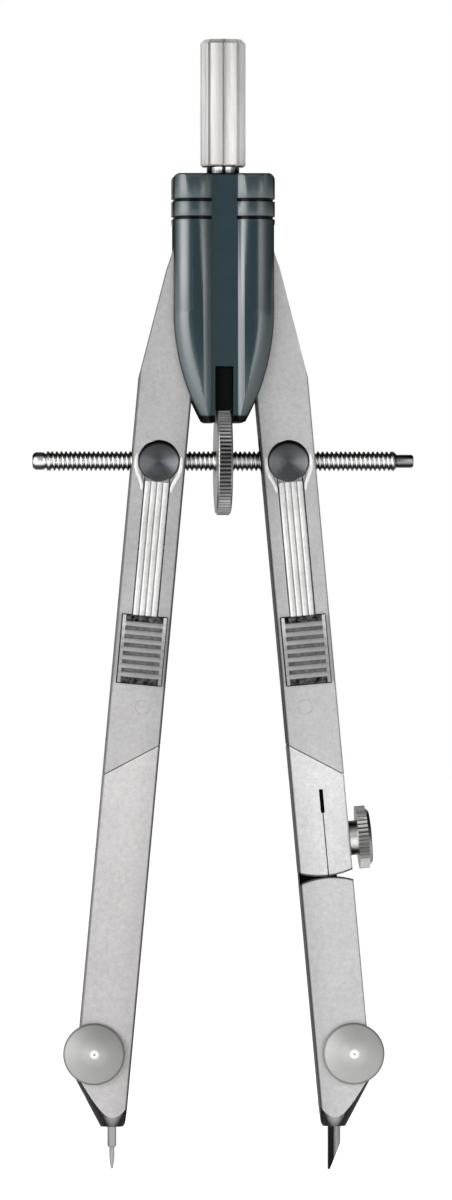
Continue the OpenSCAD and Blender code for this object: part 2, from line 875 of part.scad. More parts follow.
module release_lever(side) {
    half = arm_w / 2;
    color("silver")
        on_leg(side)
            translate([leg_mid, 0, 0])
                difference() {
                    union() {
                        // Lifting tongue and arm
                        translate([-half, lift_front, -pad_drop - cut])
                            cube([arm_w, tongue_t, pad_drop + cut + lift_top]);
                        translate([-half, arm_front, -pad_drop - cut])
                            cube([arm_w, arm_back - arm_front, pad_drop + cut + arm_top]);
                        for (i = [0 : arm_flutes - 1])
                            translate([-half + flute_pitch * (i + 0.5), arm_front, -pad_drop])
                                cylinder(d = flute_pitch * 0.92, h = pad_drop + arm_top);
                        translate([0, 0, -lever_pin_drop])
                            intersection() {
                                translate([0, lever_pin_y, 0])
                                    bar_x(lever_hub_r, -half, half);
                                translate([-arm_w, arm_front + lever_gap, -pad_l])
                                    cube([2 * arm_w, leg_t, 2 * pad_l]);
                            }
                        // Pad with its ribs
                        translate([-pad_w / 2, pad_front, pad_foot])
                            cube([pad_w, arm_back - pad_front, pad_l]);
                        for (i = [1 : pad_ribs])
                            translate([0, pad_front, pad_foot + rib_pitch * i])
                                bar_x(rib_h, -pad_w / 2, pad_w / 2);
                        for (edge = [-pad_w / 2, pad_w / 2 - rail_w])
                            translate([edge, pad_front - rail_h, pad_foot])
                                cube([rail_w, rail_h + cut, pad_l]);
                    }
                    translate([0, lever_pin_y, -lever_pin_drop])
                        bar_x(lever_pin_d / 2 + run_gap, -arm_w, arm_w);
                    // Hollow that follows the dished head
                    translate([0, 0, -spindle_drop])
                        bar_y(nut_head_r + lever_gap, pad_front - cut, lift_front);
                }
}

module left_release_lever() { release_lever(LEFT); }
module right_release_lever() { release_lever(RIGHT); }

// Lower legs and points

// Shank outline from the knee seam down to a given drop
module shin_outline(drop) {
    polygon([
        [-leg_inset, -seam_in_drop - seam_gap], [leg_out, -seam_out_drop - seam_gap],
        [leg_out, -drop], [-leg_inset, -drop]
    ]);
}

// Tongue of the knee, without its bore
module knee_tongue() {
    slab(-knee_tongue_t / 2, knee_tongue_t / 2) {
        translate([knee_x, -knee_drop])
            circle(knee_head_r);
        polygon([
            [knee_x - knee_head_r, -knee_drop], [knee_x + knee_head_r, -knee_drop],
            [leg_out, -seam_out_drop - 2 * seam_gap], [-leg_inset, -seam_in_drop - 2 * seam_gap]
        ]);
    }
}

module knee_bore() {
    translate([knee_x, 0, -knee_drop])
        bar_y(knee_pin_d / 2 + run_gap, front - cut, back + cut);
}

// Room inside which the leg's nose is turned
module nose_envelope() {
    at_point()
        rotate_extrude($fn = 96)
            polygon([
                [0, nose_rise], [nose_r, nose_rise], [nose_reach, nose_top],
                [nose_reach, leg_reach], [0, leg_reach]
            ]);
}

// Point bore, clamping slit and clamp screw hole
module point_cuts(point_d, point_l) {
    at_point()
        cylinder(d = point_d + 2 * run_gap, h = point_l + point_travel + cut);
    translate([-leg_inset - cut, -slit_w / 2, -leg_reach])
        cube([leg_w + 2 * cut, slit_w, clamp_rise + slit_rise]);
    translate([clamp_x, 0, clamp_z])
        bar_y(clamp_screw_d / 2 + run_gap, front - cut, back + cut);
}

module needle_leg() {
    color("silver")
        on_leg(LEFT)
            difference() {
                union() {
                    intersection() {
                        slab(front, back)
                            shin_outline(leg_reach);
                        nose_envelope();
                    }
                    knee_tongue();
                }
                knee_bore();
                point_cuts(needle_d, needle_l);
            }
}

module socket_leg() {
    bore_r = shank_d / 2 + run_gap;
    color("silver")
        on_leg(RIGHT)
            difference() {
                union() {
                    slab(front, back)
                        intersection() {
                            shin_outline(socket_drop);
                            translate([leg_mid, arch_r - socket_drop]) {
                                circle(arch_r, $fn = 180);
                                translate([-leg_w, 0])
                                    square([2 * leg_w, socket_drop]);
                            }
                        }
                    knee_tongue();
                }
                knee_bore();
                translate([leg_mid, 0, -socket_drop - cut])
                    cylinder(r = bore_r, h = shank_l + cut + lever_gap);
                // Wide and narrow parts of the clamping slot
                translate([slot_x - slot_w / 2, front - cut, -slot_drop - slot_l])
                    cube([slot_w, shank_d / 4 - front + cut, slot_l]);
                translate([slot_x - slit_w / 4, front - cut, -socket_drop - cut])
                    cube([slit_w / 2, leg_t + 2 * cut, socket_drop - slot_drop]);
                translate([leg_mid, 0, -thumb_drop])
                    bar_x(thumb_screw_d / 2 + run_gap, 0, leg_w);
            }
}

module lead_insert() {
    color("silver")
        on_leg(RIGHT)
            difference() {
                union() {
                    intersection() {
                        slab(front, back)
                            intersection() {
                                shin_outline(leg_reach);
                                translate([leg_mid, -insert_drop - arch_r]) {
                                    circle(arch_r, $fn = 180);
                                    translate([-leg_w, -leg_reach])
                                        square([2 * leg_w, leg_reach]);
                                }
                            }
                        nose_envelope();
                    }
                    translate([leg_mid, 0, -insert_drop - socket_arch])
                        cylinder(d = shank_d, h = shank_l + socket_arch);
                    // Locating lug that fills the inner half of the arched gap
                    slab(front + lug_in, back - lug_in)
                        difference() {
                            intersection() {
                                shin_outline(leg_reach);
                                translate([leg_mid - leg_w, -insert_drop - 2 * socket_arch])
                                    square([leg_w - shank_d / 3, 3.5 * socket_arch]);
                            }
                            translate([leg_mid, arch_r - socket_drop])
                                circle(arch_r + run_gap, $fn = 180);
                        }
                }
                point_cuts(lead_d, lead_l);
            }
}

// Screw with a low dome, turned from the front
module clamp_screw(side) {
    head_r = clamp_head_d / 2;
    dome_h = clamp_head_h - clamp_rim_h;
    dome_sphere = (pow(head_r, 2) + pow(dome_h, 2)) / (2 * dome_h);
    seat = front - run_gap;
    color("silver")
        on_leg(side)
            translate([clamp_x, 0, clamp_z]) {
                intersection() {
                    bar_y(head_r, seat - clamp_head_h, seat);
                    translate([0, seat - clamp_head_h + dome_sphere, 0])
                        sphere(dome_sphere, $fn = 180);
                }
                bar_y(clamp_screw_d / 2, seat - clamp_rim_h, back);
            }
}

module needle_clamp_screw() { clamp_screw(LEFT); }
module lead_clamp_screw() { clamp_screw(RIGHT); }

module socket_screw() {
    knob_r = thumb_d / 2;
    bevel = thumb_t / 4;
    face_r = knob_r - 1.3 * knurl_depth;
    screw_end = leg_mid + shank_d / 2 + run_gap;
    color("silver")
        on_leg(RIGHT)
            translate([thumb_seat, 0, -thumb_drop])
                rotate([0, 90, 0]) {
                    translate([0, 0, collar_l])
                        linear_extrude(thumb_t - bevel)
                            knurled_disc(knob_r, thumb_knurls, knurl_depth);
                    translate([0, 0, collar_l + thumb_t - bevel])
                        cylinder(r1 = face_r, r2 = face_r - bevel, h = bevel);
                    cylinder(d = collar_d, h = collar_l);
                    translate([0, 0, screw_end - thumb_seat])
                        cylinder(d = thumb_screw_d, h = thumb_seat - screw_end + collar_l);
                }
}

module needle() {
    r = needle_d / 2;
    color("gainsboro")
        on_leg(LEFT)
            at_point()
                rotate_extrude()
                    polygon([
                        [0, 0], [needle_point_d / 4, needle_point_d / 2],
                        [needle_point_d / 2, needle_taper_l], [needle_point_d / 2, needle_point_l],
                        [r, needle_point_l + r / 3],
                        [r, needle_l - r], [r / 2, needle_l], [0, needle_l]
                    ]);
}

module lead() {
    r = lead_d / 2;
    color("darkslategray")
        on_leg(RIGHT)
            at_point()
                difference() {
                    cylinder(r = r, h = lead_l);
                    translate([lead_tip_w - r, 0, 0])
                        rotate([0, bevel_angle, 0])
                            translate([0, -lead_d, -lead_l])
                                cube([2 * lead_d, 2 * lead_d, 2 * lead_l]);
                }
}

handle();
handle_stud();
head_cover();
yoke();
slot_felt();
left_pivot_pin();
right_pivot_pin();
left_upper_leg();
right_upper_leg();
left_lever_pin();
right_lever_pin();
left_lever_spring();
right_lever_spring();
left_knee_pin();
right_knee_pin();
left_spindle_bush();
right_spindle_bush();
left_half_nut();
right_half_nut();
left_release_lever();
right_release_lever();
spindle();
adjusting_wheel();
needle_leg();
needle();
needle_clamp_screw();
socket_leg();
socket_screw();
lead_insert();
lead();
lead_clamp_screw();
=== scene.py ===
"""Looks of a bow compass: satin legs, a dark moulded head, a cut spindle thread and a white studio.

Lengths are in metres in the row frame: X to the lead's side, Y to the back, Z up, points on Z = 0.
"""

import math

import bpy
import numpy as np
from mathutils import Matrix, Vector


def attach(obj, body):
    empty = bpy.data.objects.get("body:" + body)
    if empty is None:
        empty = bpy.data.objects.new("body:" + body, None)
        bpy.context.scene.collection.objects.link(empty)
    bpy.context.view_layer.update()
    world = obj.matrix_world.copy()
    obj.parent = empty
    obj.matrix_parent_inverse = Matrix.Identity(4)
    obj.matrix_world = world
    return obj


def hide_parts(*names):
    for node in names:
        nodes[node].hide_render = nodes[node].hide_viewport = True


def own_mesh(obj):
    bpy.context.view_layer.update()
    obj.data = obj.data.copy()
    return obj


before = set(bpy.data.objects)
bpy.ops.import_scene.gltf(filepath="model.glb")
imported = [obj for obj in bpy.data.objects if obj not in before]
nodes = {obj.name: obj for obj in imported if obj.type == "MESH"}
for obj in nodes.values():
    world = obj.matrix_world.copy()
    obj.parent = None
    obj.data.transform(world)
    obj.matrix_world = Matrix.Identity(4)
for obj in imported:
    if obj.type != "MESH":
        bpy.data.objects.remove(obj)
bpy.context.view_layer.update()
MM = 0.001

# Places that the drawn pieces share with the solids
SPINDLE_Z = 108.1026 * MM
SPINDLE_R = 1.5 * MM
WHEEL_R = 8.25 * MM
COVER_TOP = 151.92 * MM
PIVOT_Z = 142.52 * MM
FELT_TOP = 122.5 * MM
FOOT_Z = 113.92 * MM
GROOVES_Z = (144.92 * MM, 147.62 * MM)
PIVOT_X = 3.0 * MM
LEAN = math.radians(5.2)
LEG_IN, LEG_OUT = -0.36 * MM, 7.84 * MM
HEAD_ACROSS, HEAD_ALONG = 3.74 * MM, -34.9 * MM
LEG_FRONT = -2.5 * MM
SPRING_X, SPRING_Z = 12.761 * MM, 76.533 * MM
SPRING_FRONT, SPRING_BACK = -1.09 * MM, 1.64 * MM
ARCH_R = 12.357 * MM
SOCKET_ARCH, INSERT_ARCH = -86.143 * MM, -110.957 * MM
LEAD_X = 16.97 * MM
SCREW_ACROSS, SCREW_ALONG = 5.44 * MM, -125.8 * MM
KNOB_NECK = 9.06 * MM
# Foot and roof of the arched gap below the socket, and the part of the shank left without painted shadow,
# along the leg
GAP_FOOT, GAP_ROOF = -100.2 * MM, -97.0 * MM
UNSHADOWED_FOOT, UNSHADOWED_ROOF = -97.6 * MM, -89.8 * MM
# Top of the thumb pad and the ends of its ribs along the leg, and the depth of their crests and roots
PAD_TOP, PAD_MIDDLE = -58.6 * MM, -64.0 * MM
RIBS_FOOT, RIBS_TOP = -67.9 * MM, -59.75 * MM
RIB_CREST, RIB_ROOT = -3.14 * MM, -2.98 * MM
# Half width of the cover's strip, width of its grooves, and where its foot tapers
STRIP_HALF, GROOVE_W = 1.9 * MM, 0.45 * MM
TAPER_TOP, TAPER_FOOT = 138 * MM, 127 * MM
# Where the wheel's teeth start, and half their width
TEETH_R, TEETH_HALF = 7.7 * MM, 0.9 * MM
GRIP_LINES, NECK_BANDS = 9, 7
THREAD_PITCH, THREAD_DEPTH = 0.7 * MM, 0.34 * MM


# Meshes from arrays


def mesh_piece(name, points, faces, body, material, smooth_angle=40):
    """A piece from an array of points and an array of faces; it rides on a body and takes a material."""
    mesh = bpy.data.meshes.new(name)
    mesh.from_pydata(points.reshape(-1, 3).tolist(), [], [list(f) for f in faces])
    mesh.update()
    mesh.polygons.foreach_set("use_smooth", np.ones(len(mesh.polygons), dtype=bool))
    mesh.set_sharp_from_angle(angle=math.radians(smooth_angle))
    mesh.materials.append(material)
    piece = bpy.data.objects.new(name, mesh)
    bpy.context.scene.collection.objects.link(piece)
    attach(piece, body)
    return piece


def ring_faces(rows, columns):
    """Quads of a grid that closes on itself along its columns, with one face as a cap at each end."""
    i, j = np.meshgrid(np.arange(rows - 1), np.arange(columns), indexing="ij")
    k = (j + 1) % columns
    a, b = i * columns + j, i * columns + k
    quads = np.stack([a, b, b + columns, a + columns], axis=-1).reshape(-1, 4).tolist()
    first = np.arange(columns)[::-1].tolist()
    last = ((rows - 1) * columns + np.arange(columns)).tolist()
    return quads + [first, last]


def smooth_step(t):
    """0 below 0, 1 above 1, and 3t2 - 2t3 between."""
    t = np.clip(t, 0, 1)
    return t * t * (3 - 2 * t)


def thread_radius(x, turn, start, ends, pitch, depth):
    """Radius of a two-handed thread: crest radius less depth times a flat-topped wave of (x / pitch - turn),
    where turn counts with the sign of x, so that the two halves wind opposite ways."""
    hand = np.sign(x)
    wave = np.abs(2 * ((np.abs(x) / pitch - hand * turn) % 1.0) - 1)
    cut = smooth_step((wave - 0.12) / 0.66)
    inside = smooth_step((np.abs(x) - start) / pitch)
    inside = inside * smooth_step((x - ends[0]) / pitch) * smooth_step((ends[1] - x) / pitch)
    return SPINDLE_R - depth * cut * inside


def spindle_points():
    """Grid of (place along X, turn round X): the radius follows the thread between the plain middle and the
    ends, a short neck and a round button at the left end, and a plain dog point at the right end."""
    turns = 36
    start, ends = 1.2 * MM, (-26.85 * MM, 26.1 * MM)
    left = np.array([-29.1, -29.1, -28.95, -28.6, -27.6, -27.3, -27.2, -27.2, -26.98, -26.9]) * MM
    left_r = np.array([0.0, 0.8, 1.12, 1.35, 1.35, 1.28, 1.2, 1.13, 1.13, 1.3]) * MM
    right = np.array([26.15, 26.5, 26.5, 28.85, 29.1, 29.1]) * MM
    right_r = np.array([1.4, 1.05, 1.0, 1.0, 0.8, 0.0]) * MM
    middle = np.linspace(ends[0], ends[1], 1240)
    turn = np.linspace(0, 1, turns, endpoint=False)
    x = np.concatenate([left, middle, right])
    r_middle = thread_radius(middle[:, None], turn[None, :], start, ends, THREAD_PITCH, THREAD_DEPTH)
    r = np.concatenate([
        np.repeat(left_r[:, None], turns, axis=1), r_middle, np.repeat(right_r[:, None], turns, axis=1)
    ])
    r = np.maximum(r, 0.02 * MM)
    angle = 2 * np.pi * turn[None, :]
    return np.stack([np.broadcast_to(x[:, None], r.shape), r * np.cos(angle),
                     SPINDLE_Z + r * np.sin(angle)], axis=-1)


def felt_points():
    """Grid of (place along Y, place round the section): the upper edge is level, the lower one follows the
    wheel's circle, and the section's four corners are rounded off as a superellipse."""
    half_x, half_y = 1.32 * MM, 3.3 * MM
    y = np.linspace(-half_y, half_y, 33)
    low = SPINDLE_Z + np.sqrt((WHEEL_R + 0.12 * MM) ** 2 - y ** 2)
    angle = np.linspace(0, 2 * np.pi, 40, endpoint=False)
    ca, sa = np.cos(angle), np.sin(angle)
    px = np.sign(ca) * np.abs(ca) ** 0.2
    pz = np.sign(sa) * np.abs(sa) ** 0.2
    end = 1 - 0.06 * (np.abs(y) / half_y) ** 24
    mid, tall = (low + FELT_TOP) / 2, (FELT_TOP - low) / 2
    x = half_x * end[:, None] * px[None, :]
    z = mid[:, None] + tall[:, None] * end[:, None] * pz[None, :]
    return np.stack([x, np.broadcast_to(y[:, None], x.shape), z], axis=-1)


def spring_points(side):
    """Grid of (turn along the wire, turn round the wire): a helix (r cos a, y, r sin a) whose pitch closes up
    in the first and last half coil, swept by a round section."""
    coil_r, wire_r, coils = 1.025 * MM, 0.17 * MM, 4.0
    t = np.linspace(0, 1, 145)
    a = 2 * np.pi * coils * t
    rise = smooth_step((t - 0.03) / 0.94) * 0.35 + np.clip((t - 0.1) / 0.8, 0, 1) * 0.65
    y = SPRING_FRONT + wire_r + (SPRING_BACK - SPRING_FRONT - 2 * wire_r) * rise
    b = np.linspace(0, 2 * np.pi, 12, endpoint=False)
    r = coil_r + wire_r * np.cos(b)[None, :]
    return np.stack([side * SPRING_X + r * np.cos(a)[:, None], y[:, None] + wire_r * np.sin(b)[None, :],
                     SPRING_Z + r * np.sin(a)[:, None]], axis=-1)


def leg_to_row(side, across, along):
    """Row-frame X and Z of places across and along a leg, measured from its pivot."""
    x = PIVOT_X + math.cos(LEAN) * across - math.sin(LEAN) * along
    return side * x, PIVOT_Z + math.sin(LEAN) * across + math.cos(LEAN) * along


def funnel_points(side, hand):
    """Half-round ridge on a leg's front: an ellipse (width cos, height sin) carried along a bent line that
    runs from beside the dished head down to the lever's arm, and thins to a point at both ends."""
    stops = np.array([[3.4, 0.9], [3.46, -0.3], [3.4, -1.2], [3.12, -2.1], [2.66, -3.0], [2.3, -3.8],
                      [2.22, -4.7]]) * MM
    t = np.linspace(0, len(stops) - 1, 41)
    path = np.stack([np.interp(t, np.arange(len(stops)), stops[:, k]) for k in (0, 1)], axis=-1)
    for _ in range(4):
        path[1:-1] = (path[:-2] + 2 * path[1:-1] + path[2:]) / 4
    step = np.gradient(path, axis=0)
    step /= np.linalg.norm(step, axis=1, keepdims=True)
    across = np.stack([-step[:, 1], step[:, 0]], axis=-1)
    swell = np.sqrt(np.clip(1 - (2 * np.linspace(0, 1, 41) - 1) ** 6, 0.0004, 1))
    angle = np.linspace(0, 2 * np.pi, 20, endpoint=False)
    wide = 0.26 * MM * swell[:, None] * np.cos(angle)
    tall = 0.14 * MM * swell[:, None] * np.sin(angle)
    flat = path[:, None, :] + wide[..., None] * across[:, None, :]
    x, z = leg_to_row(side, HEAD_ACROSS + hand * flat[..., 0], HEAD_ALONG + flat[..., 1])
    return np.stack([x, LEG_FRONT - tall, z], axis=-1)


# Node groups shared by the finishes


def new_group(name, inputs, outputs):
    """An empty shader group with its sockets; returns the group, its input node and its output node."""
    group = bpy.data.node_groups.new(name, "ShaderNodeTree")
    for label, kind, value in inputs:
        socket = group.interface.new_socket(label, in_out="INPUT", socket_type=kind)
        if value is not None:
            socket.default_value = value
    for label, kind in outputs:
        group.interface.new_socket(label, in_out="OUTPUT", socket_type=kind)
    return group, group.nodes.new("NodeGroupInput"), group.nodes.new("NodeGroupOutput")


def add(tree, kind, **settings):
    """A node with its settings; a key with a leading i_ sets the input of that name or number."""
    node = tree.nodes.new(kind)
    for key, value in settings.items():
        if key.startswith("i_"):
            slot = key[2:].replace("_", " ")
            node.inputs[int(slot) if slot.isdigit() else slot].default_value = value
        else:
            setattr(node, key, value)
    return node


def math_node(tree, operation, a, b=0.5, c=None):
    """A Math node on sockets or numbers; returns its output."""
    node = tree.nodes.new("ShaderNodeMath")
    node.operation = operation
    for slot, value in zip(node.inputs, (a, b, c)):
        if value is None:
            continue
        if isinstance(value, (int, float)):
            slot.default_value = value
        else:
            tree.links.new(value, slot)
    return node.outputs[0]


def times(tree, a, b):
    """Product of two sockets or numbers."""
    return math_node(tree, "MULTIPLY", a, b)


def one_less(tree, value):
    """1 less a value."""
    return math_node(tree, "SUBTRACT", 1.0, value)


def fade(tree, tone, mask, amount):
    """A tone that grows by a share, or falls by it where it is below 0, as far as a mask is 1."""
    return times(tree, tone, math_node(tree, "MULTIPLY_ADD", mask, amount, 1.0))


def noise(tree, vector, scale, detail=3.0, roughness=0.55):
    """Noise of a given scale on a vector; returns its value."""
    node = add(tree, "ShaderNodeTexNoise", i_Scale=scale, i_Detail=detail, i_Roughness=roughness)
    tree.links.new(vector, node.inputs["Vector"])
    return node.outputs["Fac"]


def map_range(tree, value, low, high, to_low=0.0, to_high=1.0):
    """Smooth step of a value between two limits; the limits may be sockets or numbers."""
    node = add(tree, "ShaderNodeMapRange", interpolation_type="SMOOTHSTEP")
    keys = ("Value", "From Min", "From Max", "To Min", "To Max")
    for key, item in zip(keys, (value, low, high, to_low, to_high)):
        if isinstance(item, (int, float)):
            node.inputs[key].default_value = item
        else:
            tree.links.new(item, node.inputs[key])
    return node.outputs["Result"]


def satin_grain():
    """Blasted and plated metal: fine speckle, soft clouds and a few small scuffed spots."""
    group, gin, gout = new_group(
        "satin_grain",
        [("Vector", "NodeSocketVector", None), ("Speckle", "NodeSocketFloat", 0.1),
         ("Clouds", "NodeSocketFloat", 0.06), ("Rough", "NodeSocketFloat", 0.4)],
        [("Tone", "NodeSocketFloat"), ("Roughness", "NodeSocketFloat"), ("Height", "NodeSocketFloat")],
    )
    vector = gin.outputs["Vector"]
    fine = noise(group, vector, 3600.0, 2.0, 0.6)
    grit = noise(group, vector, 1250.0, 3.0, 0.65)
    cloud = noise(group, vector, 170.0, 4.0, 0.6)
    speckle = math_node(group, "ADD", times(group, fine, 0.45),
                        times(group, grit, 0.55))
    speckle = math_node(group, "SUBTRACT", speckle, 0.5)
    clouds = math_node(group, "SUBTRACT", cloud, 0.5)
    tone = math_node(group, "ADD", 1.0, times(group, speckle, gin.outputs["Speckle"]))
    tone = math_node(group, "ADD", tone, times(group, clouds, gin.outputs["Clouds"]))
    rough = math_node(group, "ADD", gin.outputs["Rough"], times(group, speckle, 0.22))
    rough = math_node(group, "ADD", rough, times(group, clouds, 0.12))
    group.links.new(tone, gout.inputs["Tone"])
    group.links.new(rough, gout.inputs["Roughness"])
    group.links.new(speckle, gout.inputs["Height"])
    return group


def turned_rings():
    """Lathe marks: rings round an axis through Centre, as a wave of the distance from it. Flatten holds 0
    along the axis and 1 across it."""
    group, gin, gout = new_group(
        "turned_rings",
        [("Vector", "NodeSocketVector", None), ("Centre", "NodeSocketVector", (0, 0, 0)),
         ("Flatten", "NodeSocketVector", (1, 0, 1)), ("Pitch", "NodeSocketFloat", 0.0003)],
        [("Ring", "NodeSocketFloat"), ("Distance", "NodeSocketFloat")],
    )
    out = add(group, "ShaderNodeVectorMath", operation="SUBTRACT")
    group.links.new(gin.outputs["Vector"], out.inputs[0])
    group.links.new(gin.outputs["Centre"], out.inputs[1])
    flat = add(group, "ShaderNodeVectorMath", operation="MULTIPLY")
    group.links.new(out.outputs[0], flat.inputs[0])
    group.links.new(gin.outputs["Flatten"], flat.inputs[1])
    length = add(group, "ShaderNodeVectorMath", operation="LENGTH")
    group.links.new(flat.outputs[0], length.inputs[0])
    reach = length.outputs["Value"]
    wobble = noise(group, gin.outputs["Vector"], 900.0, 2.0)
    phase = math_node(group, "DIVIDE", reach, gin.outputs["Pitch"])
    phase = math_node(group, "ADD", phase, times(group, wobble, 0.5))
    wave = math_node(group, "SINE", times(group, phase, 2 * math.pi))
    group.links.new(math_node(group, "MULTIPLY_ADD", wave, 0.5, 0.5), gout.inputs["Ring"])
    group.links.new(reach, gout.inputs["Distance"])
    return group


def face_shade():
    """Painted light and shade by the way a surface faces: 1 to the front or back, Edge where it rolls over,
    and
    Side on flat sides."""
    group, gin, gout = new_group(
        "face_shade",
        [("Start", "NodeSocketFloat", 0.9), ("Full", "NodeSocketFloat", 0.99),
         ("Edge", "NodeSocketFloat", 0.45), ("Side", "NodeSocketFloat", 0.85)],
        [("Tone", "NodeSocketFloat")],
    )
    parts = group.nodes.new("ShaderNodeSeparateXYZ")
    group.links.new(group.nodes.new("ShaderNodeNewGeometry").outputs["Normal"], parts.inputs[0])
    turn = math_node(group, "ABSOLUTE", parts.outputs[1])
    face = map_range(group, turn, gin.outputs["Start"], gin.outputs["Full"], gin.outputs["Edge"], 1.0)
    side = map_range(group, turn, 0.06, 0.22, 1.0, 0.0)
    lift = math_node(group, "SUBTRACT", gin.outputs["Side"], gin.outputs["Edge"])
    group.links.new(math_node(group, "MULTIPLY_ADD", side, lift, face), gout.inputs["Tone"])
    return group


GRAIN = satin_grain()
RINGS = turned_rings()
FACING = face_shade()


class Finish:
    """One material with a Principled shader and helpers to feed it."""

    def __init__(self, name, metallic=0.0, **constants):
        self.material = bpy.data.materials.new(name)
        self.material.use_nodes = True
        self.tree = self.material.node_tree
        self.shader = self.tree.nodes["Principled BSDF"]
        self.shader.inputs["Metallic"].default_value = metallic
        for key, value in constants.items():
            self.shader.inputs[key.replace("_", " ")].default_value = value
        self.place = self.tree.nodes.new("ShaderNodeTexCoord").outputs["Object"]

    def group(self, group, **values):
        """The group's node on Object coordinates, with its input values."""
        node = add(self.tree, "ShaderNodeGroup", node_tree=group)
        if "Vector" in node.inputs:
            self.tree.links.new(self.place, node.inputs["Vector"])
        for key, value in values.items():
            node.inputs[key].default_value = value
        return node.outputs

    def tint(self, colour, tone):
        """Base colour times a tone that changes over the surface."""
        node = add(self.tree, "ShaderNodeVectorMath", operation="SCALE")
        node.inputs[0].default_value = colour
        self.tree.links.new(tone, node.inputs["Scale"])
        self.tree.links.new(node.outputs[0], self.shader.inputs["Base Color"])

    def feed(self, socket, value):
        """Links a value to one of the shader's inputs."""
        self.tree.links.new(value, self.shader.inputs[socket])

    def bump(self, height, distance, strength=1.0):
        """Bump from a height, chained on the last one."""
        node = add(self.tree, "ShaderNodeBump", i_Strength=strength, i_Distance=distance)
        self.tree.links.new(height, node.inputs["Height"])
        before = self.shader.inputs["Normal"].links
        if before:
            self.tree.links.new(before[0].from_socket, node.inputs["Normal"])
        self.tree.links.new(node.outputs[0], self.shader.inputs["Normal"])

    def calm(self, amounts):
        """Shading normal with each of its parts scaled, so that low relief reads softer."""
        node = add(self.tree, "ShaderNodeVectorMath", operation="MULTIPLY")
        self.tree.links.new(self.tree.nodes.new("ShaderNodeNewGeometry").outputs["Normal"], node.inputs[0])
        node.inputs[1].default_value = amounts
        unit = add(self.tree, "ShaderNodeVectorMath", operation="NORMALIZE")
        self.tree.links.new(node.outputs[0], unit.inputs[0])
        self.tree.links.new(unit.outputs[0], self.shader.inputs["Normal"])

    def normal(self, index):
        """One part of the way that the surface faces: 0 for X, 1 for Y, 2 for Z."""
        node = self.tree.nodes.new("ShaderNodeSeparateXYZ")
        self.tree.links.new(self.tree.nodes.new("ShaderNodeNewGeometry").outputs["Normal"], node.inputs[0])
        return node.outputs[index]

    def axis(self, index):
        """One coordinate of the place: 0 for X, 1 for Y, 2 for Z."""
        node = self.tree.nodes.new("ShaderNodeSeparateXYZ")
        self.tree.links.new(self.place, node.inputs[0])
        return node.outputs[index]


# Finishes


def leg_places(finish):
    """Places across and along a leg from its pivot, the same on both legs."""
    tree = finish.tree
    out = math_node(tree, "SUBTRACT", math_node(tree, "ABSOLUTE", finish.axis(0)), PIVOT_X)
    up = math_node(tree, "SUBTRACT", finish.axis(2), PIVOT_Z)
    cos, sin = math.cos(LEAN), math.sin(LEAN)
    across = math_node(tree, "MULTIPLY_ADD", out, cos, times(tree, up, sin))
    along = math_node(tree, "MULTIPLY_ADD", out, -sin, times(tree, up, cos))
    return across, along


def window(tree, value, low, high, soft):
    """1 between two limits, with a soft step at each."""
    return times(tree, map_range(tree, value, low - soft, low), map_range(tree, value, high + soft, high))


def satin_nickel(name, colour, arch=None, shank=False):
    """Blasted and plated legs with painted shade along their rolled edges, on their turned noses and round
    the arched end of the socket; the shank of the lead's half has black painted shadow at its root and behind
    the socket's slit."""
    finish = Finish(name, metallic=1.0)
    tree = finish.tree
    grain = finish.group(GRAIN, Speckle=0.8, Clouds=0.24, Rough=0.66)
    facing = finish.group(FACING, Start=0.72, Full=0.985, Edge=0.035, Side=0.42)
    tone = times(tree, grain["Tone"], facing["Tone"])
    across, along = leg_places(finish)
    height = finish.axis(2)
    # Painted shade: dark lines along the inner and outer edges, and a gentle darkening towards the inner
    # edge.
    inner = map_range(tree, across, LEG_IN + 0.16 * MM, LEG_IN + 0.42 * MM, 0.16, 1.0)
    outer = map_range(tree, across, LEG_OUT - 0.28 * MM, LEG_OUT - 0.1 * MM, 1.0, 0.5)
    shade = map_range(tree, across, LEG_IN, LEG_IN + 4 * MM, 0.9, 1.0)
    # Lighter by up to a tenth in a broad band round 62 to 70 mm up.
    mid_height_lift = math_node(tree, "MULTIPLY_ADD", window(tree, height, 62 * MM, 70 * MM, 26 * MM), 0.1, 1.0)
    for part in (inner, outer, shade, mid_height_lift):
        tone = times(tree, tone, part)
    if arch is not None:
        # Painted shade: a dark line round the arched gap below the socket.
        ring = finish.group(RINGS, Centre=leg_place(1, HEAD_ACROSS, arch), Flatten=(1, 0, 1))
        rim = map_range(tree, ring["Distance"], ARCH_R - 0.36 * MM, ARCH_R - 0.16 * MM)
        line = times(tree, rim, window(tree, along, GAP_FOOT, GAP_ROOF, 0.2 * MM))
        tone = fade(tree, tone, line, -0.85)
    if shank:
        # Painted shadow: the shank goes black above the gap's foot, except the stretch between the two
        # unshadowed limits.
        past = map_range(tree, ring["Distance"], ARCH_R - 0.02 * MM, ARCH_R + 0.06 * MM)
        above = times(tree, past, map_range(tree, along, GAP_FOOT, GAP_FOOT + 0.2 * MM))
        unshadowed = window(tree, along, UNSHADOWED_FOOT, UNSHADOWED_ROOF, 0.3 * MM)
        above = times(tree, above, one_less(tree, unshadowed))
        tone = fade(tree, tone, above, -0.97)
    finish.tint(colour, tone)
    finish.feed("Roughness", grain["Roughness"])
    finish.bump(grain["Height"], 0.00002)
    return finish.material


